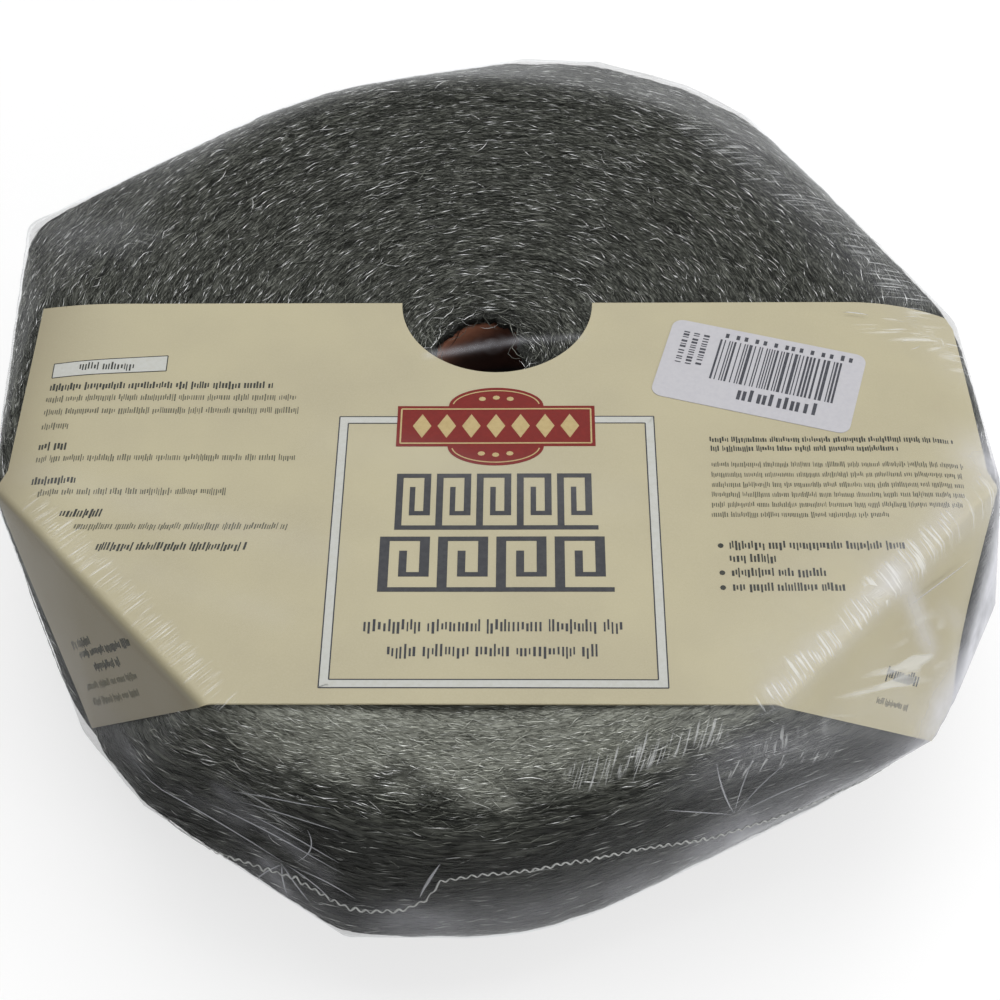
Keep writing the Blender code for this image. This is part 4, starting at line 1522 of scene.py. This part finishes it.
@dataclass
class ShrinkFilm:
    """The clear film: the hull of all it wraps, drawn out into ears, with its creases and seam."""

    shape: RollShape
    ceiling: float
    floor: float = 0.0004
    clearance: float = 0.0003
    columns: int = 520
    counts: tuple[int, ...] = (44, 24, 18, 20, 20)
    cast_from: float = 0.030
    # Azimuth, reach past the rim, share of the height and half-width in degrees of each ear.
    ears: tuple[tuple[float, float, float, float], ...] = (
        (154.3, 0.0110, 0.887, 5.0), (64.0, 0.0048, 0.854, 9.0), (76.0, 0.0048, 0.868, 9.0),
        (254.4, 0.0061, 0.325, 6.0), (334.9, 0.0056, 0.620, 7.0),
        (222.0, 0.0098, 0.600, 6.0), (232.0, 0.0106, 0.560, 7.0),
    )
    # Where the film is pleated; the white ticks laid there are painted highlights on real bumps.
    pleat_zones: tuple[Zone, ...] = (
        Zone((58, 88, 92), (98, 42, 92), 8, 0.07, (1, 0.16, 0), 1.1, ticks=0.78, fine=1.3),
        Zone((98, 42, 92), (119, -6, 87), 8, 0.08, (1, 0.10, -0.1), 1.0, ticks=0.82, fine=1.3),
        Zone((96, 6, 93), (114, 0, 90), 5, 0.08, fan_from=(125, 4, 86), size=1.2, ticks=0.9, fine=1.2),
        Zone((117, -8, 88), (122, -42, 84), 2.6, 0.05, (1, 0, -0.35), 0.55),
        Zone((58, -111, 92.6), (88, -80, 92.6), 3.2, 0.0, (0.42, -0.9, 0), 0.8, ticks=1.25, fine=1.7),
        Zone((88, -80, 92.6), (118, -48, 88), 4.2, 0.0, (0.45, -0.88, 0), 0.9, ticks=1.3, fine=1.7),
        Zone((-110, -49, 92.4), (-60, -107, 92.6), 4.2, 0.0, (0.7, 0.7, 0), 0.8, ticks=0.86, fine=2.8),
        Zone((-122, 52, 86), (-92, 42, 92), 10, 0.0, fan_from=(-132, 57, 82), size=1.2, ticks=0.40, fine=0.8),
        Zone((-62, -114, 72), (-48, -122, 62), 4, 0.0, (0.8, -0.45, -0.3), 0.8, ticks=0.7, fine=0.8),
        Zone((18, -122, 82), (48, -116, 89), 3.6, 0.0, (-0.25, -0.5, -0.8), ticks=1.6, fine=2.0),
        Zone((54, -114, 72), (76, -104, 64), 5.0, 0.0, (0.25, 0.12, 1.0), ticks=0.8, fine=1.0),
        Zone((62, -110, 78), (104, -82, 74), 9.0, 0.0, fan_from=(58, -114, 56), ticks=0.9, fine=0.8),
    )
    # Where the film turns whitish: partly its own clouding where it bunches, partly painted sheen and
    # reflection.
    haze_and_sheen_zones: tuple[Zone, ...] = (
        Zone((122, -40, 84), (123, -66, 58), 9.5, 1.05),
        Zone((123, -66, 58), (104, -90, 52), 9.5, 0.95),
        Zone((98, -80, 88), (104, -84, 74), 3.0, 0.62),
        Zone((108, -77, 80), (112, -76, 74), 2.6, 0.6),
        Zone((62, -107, 92.6), (92, -76, 92.6), 3.6, 0.32),
        Zone((92, -76, 92.6), (118, -47, 88), 4.5, 0.38),
        Zone((-100, -88, 56), (-82, -100, 48), 7, 0.10),
        Zone((60, -112, 40), (92, -94, 40), 13, 0.34),
        Zone((-20, -130, 34), (60, -112, 34), 10, 0.20),
        Zone((-60, -118, 36), (-20, -131, 36), 8, 0.18),
        Zone((-63, -113, 66), (-40, -126, 50), 2.6, 0.22),
        Zone((-86, -100, 62), (-60, -116, 58), 2.6, 0.20),
        Zone((-70, -110, 56), (-50, -122, 46), 2.2, 0.20),
        Zone((-54, -120, 46), (-50, -123, 38), 2.2, 0.55),
        Zone((-120, 56, 84), (-100, 44, 92), 9, 0.08), Zone((-106, -80, 70), (-90, -96, 64), 6, 0.13),
        Zone((70, 80, 88), (120, -10, 86), 9, 0.10),
        Zone((52, -112, 76), (90, -92, 70), 12, 0.20),
        Zone((-112, -40, 92), (-40, -66, 92), 5, 0.06),
        Zone((-104, -62, 92), (-50, -84, 92), 4, 0.05),
        Zone((-40, -30, 92), (30, -52, 92), 6, 0.04),
        Zone((60, -96, 92), (96, -60, 92), 12, 0.08),
        Zone((-16, -2.5, 92.8), (6, 2, 92.8), 1.3, 0.26),
        Zone((6, 2, 92.8), (23, 3, 92.8), 1.2, 0.12),
    )
    dull_zones: tuple[Zone, ...] = (
        Zone((-30, -126, 66), (60, -114, 66), 18, 0.5), Zone((-122, -44, 50), (-60, -114, 46), 24, 0.6),
        Zone((-128, 10, 50), (-128, 54, 60), 26, 0.4),
    )

    def build(self, wrapped: Iterable[Vector]) -> bpy.types.Object:
        """Pull the film over the points that it wraps.

        Args:
            wrapped: points of the wool, the card and the sticker.

        Returns:
            The film as one closed skin, with its attributes.
        """
        hull = self.hull(wrapped)
        points, normals = self.shape.skin(self.columns, self.counts, 1 * MM, 0.0)
        points = self.shape.placed(points)
        rows = points.shape[1]
        skin = []
        for p, n in zip(points.reshape(-1, 3), normals.reshape(-1, 3)):
            out = Vector(n)
            hit = hull.ray_cast(Vector(p) + out * self.cast_from, -out)[0]
            skin.append(hit if hit is not None else Vector(p))
        skin_points = np.array(skin).reshape(self.columns, rows, 3)
        faces = grid_faces(self.columns, rows)
        faces.append(tuple(i * rows for i in range(self.columns)))
        faces.append(tuple(i * rows + rows - 1 for i in reversed(range(self.columns))))
        film = mesh_object("film_skin", skin, faces, ClearFilm().build())
        local = (skin_points.reshape(-1, 3) - np.array((*self.shape.axis, 0.0))) / MM
        cover, pull = self._pleat_field(local)
        store(film, "pleats", cover)
        store(film, "pull", pull)
        haze_and_sheen = sum(zone.amount * zone.weight(local) for zone in self.haze_and_sheen_zones)
        store(film, "haze_and_sheen", np.clip(haze_and_sheen, 0.0, 1.0))
        dull = sum(zone.amount * zone.weight(local) for zone in self.dull_zones)
        store(film, "shine", np.clip(0.85 - dull, 0.15, 1.0))
        self._store_pleats(film, local)
        self._close_poles(film)
        face_outwards(film.data)
        # Lamp light and light off the wool pass the clear film as if it were not there.
        film.visible_diffuse = film.visible_glossy = film.visible_shadow = False
        return film

    def _store_pleats(self, film: bpy.types.Object, local: np.ndarray) -> None:
        """Store where each point lies in the pleats of the zone that is strongest there."""
        weights = np.stack([np.minimum(z.weight(local) * z.ticks, 1.0) for z in self.pleat_zones])
        strongest = np.argmax(weights, axis=0)
        places = np.zeros((len(local), 3))
        for index, zone in enumerate(self.pleat_zones):
            across, along = zone.places(local)
            here = strongest == index
            places[here] = np.stack((across * zone.fine, along * 0.10, along * 0 + 7.3 * index), axis=1)[here]
        store(film, "pleat_place", places)
        store(film, "pleat_cover", np.max(weights, axis=0) * 0.62)

    def _close_poles(self, film: bpy.types.Object) -> None:
        """Turn the two small end faces into fans of triangles."""
        bm = bmesh.new()
        bm.from_mesh(film.data)
        big = [f for f in bm.faces if len(f.verts) > 4]
        bmesh.ops.poke(bm, faces=big)
        bm.to_mesh(film.data)
        bm.free()

    def hull(self, wrapped: Iterable[Vector]) -> BVHTree:
        """The convex hull of the wrapped points and the ears."""
        bm = bmesh.new()
        lift = self.ceiling - self.shape.top
        axis = Vector((*self.shape.axis, 0.0))
        for point in wrapped:
            out = Vector((point.x, point.y, 0)) - axis
            moved = point + out.normalized() * 2 * self.clearance if out.length > 0 else point.copy()
            raised = min(point.z + lift, self.ceiling)
            moved.z = raised if point.z > self.shape.middle else max(point.z - self.clearance, self.floor)
            bm.verts.new(moved)
        for azimuth, reach, height_share, spread in self.ears:
            for side, share in ((-1, 0.4), (0, 1.0), (1, 0.4)):
                turn = math.radians(azimuth + side * spread)
                radius = float(self.shape.rim(np.array(turn))) + reach * share
                height = self.shape.bottom + (self.shape.top - self.shape.bottom) * height_share
                bm.verts.new(axis + Vector((radius * math.cos(turn), radius * math.sin(turn), height)))
        hull = bmesh.ops.convex_hull(bm, input=bm.verts, use_existing_faces=False)
        inside = {g for key in ("geom_interior", "geom_unused") for g in hull[key]}
        loose = [g for g in inside if isinstance(g, bmesh.types.BMVert)]
        bmesh.ops.delete(bm, geom=loose, context="VERTS")
        bmesh.ops.recalc_face_normals(bm, faces=bm.faces)
        tree = BVHTree.FromBMesh(bm)
        bm.free()
        return tree

    def _pleat_field(self, local: np.ndarray) -> tuple[np.ndarray, np.ndarray]:
        """How many pleats the film has at each point, and which way they run."""
        cover = np.zeros(len(local))
        pull = np.zeros((len(local), 3))
        for zone in self.pleat_zones:
            weight = zone.weight(local) * zone.amount
            cover += weight
            pull += zone.direction(local) * zone.size * weight[:, None]
        length = np.maximum(cover, 1e-6)
        return np.where(cover > 0.02, cover, 0.0), pull / length[:, None]

    def pleats(self, film: bpy.types.Object) -> bpy.types.Object:
        """The short pleats that gather along the film's tight edges."""
        # Real pleats, whose white finish is partly painted highlight.
        kinds = [StrandKind(6.5 * MM, 0.34 * MM, b * MM, 0.0, 3, 0.3) for b in (0.25, -0.25, 0.0, 0.45)]
        return StrandLayer("pleats", "pull").lay(
            "film_pleats", film, kinds, 0.14e6, Lay.PLEATED, FoldedFilm().build(), 21, (0.4, 1.3), 0.05 * MM)


RIDGES: tuple[Ridge, ...] = (
    Ridge(((-18.8, -133.8, 47.2), (-17.0, -132.0, 54.0), (-13.7, -131.0, 60.8)), 0.9),
    Ridge(((55.2, -113.5, 50.4), (51.5, -116.0, 62.0), (49.3, -117.4, 77.1)), 0.55),
    Ridge(((55.2, -113.5, 50.4), (56.0, -114.6, 62.0), (58.7, -114.3, 76.0)), 0.45),
    Ridge(((56.0, -113.3, 50.6), (60.0, -112.5, 60.0), (66.9, -109.9, 66.4)), 0.45),
    Ridge(((57.0, -112.9, 50.0), (66.0, -109.0, 53.5), (78.4, -103.5, 53.4)), 0.4),
    Ridge(((54.6, -113.8, 50.4), (48.0, -117.0, 56.0), (38.0, -121.0, 64.0)), 0.4),
    Ridge(((-60.3, -114.7, 67.6), (-49.0, -119.5, 71.5), (-37.5, -121.6, 72.3)), 0.4),
    Ridge(((-59.2, -115.7, 65.0), (-47.0, -121.0, 67.0), (-35.9, -124.4, 66.6)), 0.4),
    Ridge(((-57.8, -117.0, 62.0), (-46.0, -122.5, 60.0), (-36.9, -127.0, 56.0)), 0.45),
    Ridge(((-66.0, -112.5, 60.0), (-56.0, -118.0, 59.9), (-35.9, -128.0, 52.6)), 0.5),
    Ridge(((-84.0, -101.0, 60.0), (-66.0, -112.5, 56.0), (-50.0, -122.0, 49.0)), 0.5),
    Ridge(((-50.8, -122.8, 48.2), (-55.0, -120.5, 43.0), (-57.0, -119.0, 38.0)), 0.5),
    Ridge(((-50.8, -122.8, 48.2), (-51.6, -123.4, 43.0), (-50.0, -124.0, 37.0)), 0.5),
    Ridge(((-50.8, -122.8, 48.2), (-48.6, -125.0, 43.0), (-45.0, -127.0, 38.0)), 0.5),
    Ridge(((-49.8, -123.2, 48.6), (-44.0, -127.0, 46.5), (-40.0, -129.9, 42.0)), 0.45),
    Ridge(((-47.8, -124.2, 48.6), (-40.0, -129.0, 49.0), (-34.0, -130.9, 45.0)), 0.45),
    Ridge(((-47.8, -124.2, 50.6), (-42.0, -127.0, 58.0), (-44.0, -124.0, 64.0)), 0.4),
    Ridge(((98.0, -82.0, 88.0), (104.0, -76.0, 86.5), (114.3, -64.0, 82.8)), 0.45),
)


@dataclass
class FilmCreases:
    """Long creases and the welded seam, laid on the film."""

    shape: RollShape
    skin: BVHTree
    steps: int = 26
    seam_radius: float = 0.00027
    seam_steps: int = 3060
    # Azimuth in degrees and height in millimetres that the seam passes through.
    seam_path: tuple[Plan, ...] = (
        (0, 43), (40, 46), (80, 44), (120, 41), (160, 44), (200, 42),
        (226, 33), (236, 43), (249, 45), (255, 41),
        (260, 41.5), (262.5, 46), (264, 54), (268, 56), (276, 55), (285, 49.5),
        (293, 42.5), (303, 40), (314, 33),
        (335, 38), (360, 43),
    )

    def _tube(self, name: str, path: Sequence[Vector], radii: Sequence[float], finish: bpy.types.Material,
              closed: bool, tone: Sequence[float]) -> bpy.types.Object:
        """A thin closed bead of varying width along a path."""
        sides = 6
        points, faces, tones = [], [], []
        count = len(path)
        for i, (p, radius) in enumerate(zip(path, radii)):
            ahead = path[(i + 1) % count] if closed or i + 1 < count else path[i]
            behind = path[i - 1] if closed or i > 0 else path[i]
            along = (ahead - behind).normalized()
            out = Vector((p.x - self.shape.axis[0], p.y - self.shape.axis[1], 0)).normalized()
            side = along.cross(out).normalized()
            out = side.cross(along)
            for corner in range(sides):
                turn = math.tau * corner / sides
                points.append(p + side * radius * math.cos(turn) + out * radius * 0.55 * math.sin(turn))
                tones.append(tone[i])
        for i in range(count if closed else count - 1):
            j = (i + 1) % count
            for corner in range(sides):
                other = (corner + 1) % sides
                faces.append((i * sides + corner, i * sides + other, j * sides + other, j * sides + corner))
        if not closed:
            faces.append(tuple(reversed(range(sides))))
            faces.append(tuple(range((count - 1) * sides, count * sides)))
        bead = mesh_object(name, points, faces, finish)
        face_outwards(bead.data)
        store(bead, "tone", np.array(tones))
        return bead

    def _onto_skin(self, point: Vector) -> Vector:
        """The nearest point of the film."""
        return self.skin.find_nearest(point)[0]

    def seam(self) -> bpy.types.Object:
        """The welded seam round the side: a thin crimped bead that wanders up and down."""
        azimuths, heights = zip(*self.seam_path)
        path, radii, tones = [], [], []
        for step in range(self.seam_steps):
            degrees = 360.0 * step / self.seam_steps
            turn = math.radians(degrees)
            height = float(np.interp(degrees, azimuths, heights))
            crimp = noise.noise(Vector((math.cos(turn) * 60, math.sin(turn) * 60, 1.7)))
            fine = noise.noise(Vector((math.cos(turn) * 160, math.sin(turn) * 160, 4.1)))
            outward = Vector((math.cos(turn), math.sin(turn), 0))
            zigzag = (0.45 + 0.7 * abs(crimp)) * math.sin(math.tau * step / 9)
            start = Vector((*self.shape.axis, (height + 0.6 * crimp + zigzag) * MM)) + outward * 0.2
            hit = self.skin.ray_cast(start, -outward)[0]
            path.append(hit + outward * 0.1 * MM)
            radii.append(self.seam_radius * (1 + 0.7 * fine))
            tones.append(0.55 + 0.45 * crimp)
        weld = FoldedFilm("welded_film_seam", "#c9cbc8", 0.8).build()
        return self._tube("film_seam", path, radii, weld, True, tones)

    def ridges(self) -> bpy.types.Object:
        """The long creases, joined into one object."""
        beads = []
        # Real crease beads, whose pale finish is partly painted highlight.
        finish = FoldedFilm("creased_shrink_film", "#c3c5ca", 0.62).build()
        for index, ridge in enumerate(RIDGES):
            corners = [self.shape.spot(p) for p in ridge.path]
            path, radii = [], []
            for step in range(self.steps + 1):
                share = step / self.steps
                first, second = corners[0].lerp(corners[1], share), corners[1].lerp(corners[2], share)
                path.append(self._onto_skin(first.lerp(second, share)))
                swell = math.sin(math.pi * min(max(share, 0.04), 0.96)) ** 0.7
                radii.append(max(ridge.width * MM / 2 * swell, 0.05 * MM))
            beads.append(self._tube(f"crease_{index}", path, radii, finish, False, [0.5] * len(path)))
        return joined("film_creases", beads)


def joined(name: str, pieces: Sequence[bpy.types.Object]) -> bpy.types.Object:
    """Join mesh objects into the first of them and name it."""
    with bpy.context.temp_override(active_object=pieces[0], selected_editable_objects=list(pieces)):
        bpy.ops.object.join()
    pieces[0].name = pieces[0].data.name = name
    return pieces[0]


# The studio.


@dataclass(frozen=True)
class Lamp:
    """A rectangular soft lamp that points at the roll."""

    name: str
    place: Point
    size: Plan
    watts: float
    aim: Point = (0.0, 0.0, 0.05)
    mirrored: bool = True

    def build(self) -> None:
        """Put the lamp in the scene."""
        data = bpy.data.lights.new(self.name, "AREA")
        data.shape = "RECTANGLE"
        data.size, data.size_y = self.size
        data.energy = self.watts
        lamp = bpy.data.objects.new(self.name, data)
        lamp.location = self.place
        lamp.visible_glossy = self.mirrored
        lamp.rotation_euler = (Vector(self.aim) - Vector(self.place)).to_track_quat("-Z", "Y").to_euler()
        bpy.context.scene.collection.objects.link(lamp)


@dataclass
class Studio:
    """A white table, soft lamps and the camera."""

    shape: RollShape
    floor_size: float = 7.0
    near_glow: float = 0.66
    lens: float = 70.2
    distance: float = 0.4674
    elevation: float = 50.5
    roll: float = -1.0
    aim: Point = (0.00124, -0.05007, 0.0008)
    lamps: tuple[Lamp, ...] = (
        Lamp("overhead_softbox", (0.0, 0.35, 1.25), (1.3, 1.1), 9.9),
        Lamp("front_right_fill", (0.80, -1.05, 0.60), (0.8, 0.5), 8.6, mirrored=False),
        Lamp("left_strip", (-0.9, 0.25, 0.75), (0.10, 1.0), 0.6),
        Lamp("right_strip", (0.95, 0.15, 0.70), (0.10, 1.0), 1.3),
        Lamp("back_strip", (0.15, 1.25, 0.85), (1.2, 0.12), 0.9),
    )

    def _floor(self) -> None:
        """A large pale floor that shows white behind the roll, keeps its shadow and glows far off."""
        made, tree, output = new_material("white_table")
        place = add_node(tree, "ShaderNodeTexCoord").outputs["Object"]
        reach = add_node(tree, "ShaderNodeVectorMath", {0: place}, operation="LENGTH").outputs["Value"]
        far = add_node(tree, "ShaderNodeMapRange", {"Value": reach, 1: 0.35, 2: 1.1, 3: 0.0, 4: 1.0})
        near_tint = mix_colour(tree, noise_of(tree, place, 3.0, 2.0), "#a6a6a6", "#aaaaaa")
        tint = mix_colour(tree, far.outputs[0], near_tint, "#0c0c0c")
        matte = add_node(tree, "ShaderNodeBsdfDiffuse", {"Color": tint})
        path = add_node(tree, "ShaderNodeLightPath").outputs
        seen = maths(tree, "ADD", path["Is Camera Ray"], path["Is Glossy Ray"])
        seen = maths(tree, "ADD", seen, path["Is Transmission Ray"], clamp=True)
        glow = add_node(tree, "ShaderNodeMapRange", {"Value": far.outputs[0], 3: self.near_glow, 4: 1.0})
        strength = maths(tree, "MULTIPLY", seen, glow.outputs[0])
        glow = add_node(tree, "ShaderNodeEmission", {"Color": linear("#ffffff"), "Strength": strength})
        both = add_node(tree, "ShaderNodeAddShader", {0: matte.outputs[0], 1: glow.outputs[0]})
        tree.links.new(both.outputs[0], output.inputs[0])
        half = self.floor_size / 2
        corners = [(-half, -half, 0), (half, -half, 0), (half, half, 0), (-half, half, 0)]
        mesh_object("table", corners, [(0, 1, 2, 3)], made, smooth=False)

    def _world(self) -> None:
        """Surroundings that are white to the eye and in gloss, and a weak fill, dimmest on the left."""
        world = bpy.data.worlds.new("studio")
        bpy.context.scene.world = world
        world.use_nodes = True
        tree = world.node_tree
        tree.nodes.clear()
        path = add_node(tree, "ShaderNodeLightPath").outputs
        seen = maths(tree, "ADD", path["Is Camera Ray"], path["Is Glossy Ray"])
        seen = maths(tree, "ADD", seen, path["Is Transmission Ray"], clamp=True)
        sky = add_node(tree, "ShaderNodeTexCoord").outputs["Generated"]
        way = add_node(tree, "ShaderNodeSeparateXYZ", {0: sky}).outputs["X"]
        fill = add_node(tree, "ShaderNodeMapRange", {"Value": way, 1: -1.0, 2: 1.0, 3: 0.10, 4: 0.54})
        strength = add_node(tree, "ShaderNodeMapRange", {"Value": seen, 3: fill.outputs[0], 4: 1.0})
        lit = {"Color": linear("#ffffff"), "Strength": strength.outputs[0]}
        back = add_node(tree, "ShaderNodeBackground", lit)
        add_node(tree, "ShaderNodeOutputWorld", {0: back.outputs[0]})

    def _camera(self) -> None:
        """The camera at the photograph's angle."""
        tilt, turn = math.radians(self.elevation), math.radians(self.roll)
        back = Vector((0, -math.cos(tilt), math.sin(tilt)))
        aim = self.aim
        target = Vector((self.shape.axis[0] + aim[0], self.shape.axis[1] + aim[1], self.shape.top + aim[2]))
        right = Vector((1, 0, 0))
        up = back.cross(right)
        turned_right = right * math.cos(turn) + up * math.sin(turn)
        turned_up = up * math.cos(turn) - right * math.sin(turn)
        data = bpy.data.cameras.new("camera")
        data.lens, data.sensor_width = self.lens, 36.0
        camera = bpy.data.objects.new("camera", data)
        matrix = Matrix((turned_right, turned_up, back)).transposed().to_4x4()
        matrix.translation = target + back * self.distance
        camera.matrix_world = matrix
        bpy.context.scene.collection.objects.link(camera)
        bpy.context.scene.camera = camera

    def build(self) -> None:
        """Set up floor, surroundings, lamps and camera."""
        self._floor()
        self._world()
        for lamp in self.lamps:
            lamp.build()
        self._camera()
        bpy.context.scene.view_settings.view_transform = "Standard"


def bvh_of(obj: bpy.types.Object) -> BVHTree:
    """The faces of an object at the origin, for casting rays."""
    faces = [tuple(p.vertices) for p in obj.data.polygons]
    return BVHTree.FromPolygons([v.co for v in obj.data.vertices], faces)


def keep_piece(obj: bpy.types.Object, replaced: str | None = None) -> None:
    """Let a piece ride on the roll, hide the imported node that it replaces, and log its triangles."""
    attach(obj, BODY)
    if replaced is not None:
        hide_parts(replaced)
    obj.data.calc_loop_triangles()
    LOG.info("%s: %d triangles", obj.name, len(obj.data.loop_triangles))


def main() -> None:
    """Build the pieces in order, from the wool outwards."""
    logging.basicConfig(level=logging.INFO, format="%(message)s")
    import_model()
    shape = RollShape.from_frame()

    keep_piece(CoreTube(shape).build(), "core_tube")
    card = LabelCard(shape)
    sheet = card.build()
    keep_piece(sheet, "label_card")
    for plate in LabelPrint(card).build():
        keep_piece(plate)
    paper, bars = GradeSticker(card).build()
    keep_piece(paper, "grade_sticker")
    keep_piece(bars)

    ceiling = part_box("grade_sticker")[1][2] + ShrinkFilm.clearance
    film = ShrinkFilm(shape, ceiling)
    wool = WoundWool(shape)
    wrapped = [Vector(p) for p in wool.nominal()]
    wrapped += [v.co.copy() for v in sheet.data.vertices]
    wrapped += [v.co.copy() for v in paper.data.vertices]
    skin = film.build(wrapped)
    body = wool.body(bvh_of(skin), bvh_of(sheet))
    keep_piece(body, "wool_roll")
    for layer in wool.strands(body, bvh_of(sheet)):
        keep_piece(layer)
    keep_piece(skin, "shrink_film")
    keep_piece(film.pleats(skin))
    creases = FilmCreases(shape, bvh_of(skin))
    keep_piece(creases.seam())
    keep_piece(creases.ridges())

    Studio(shape).build()


if __name__ == "__main__":
    main()
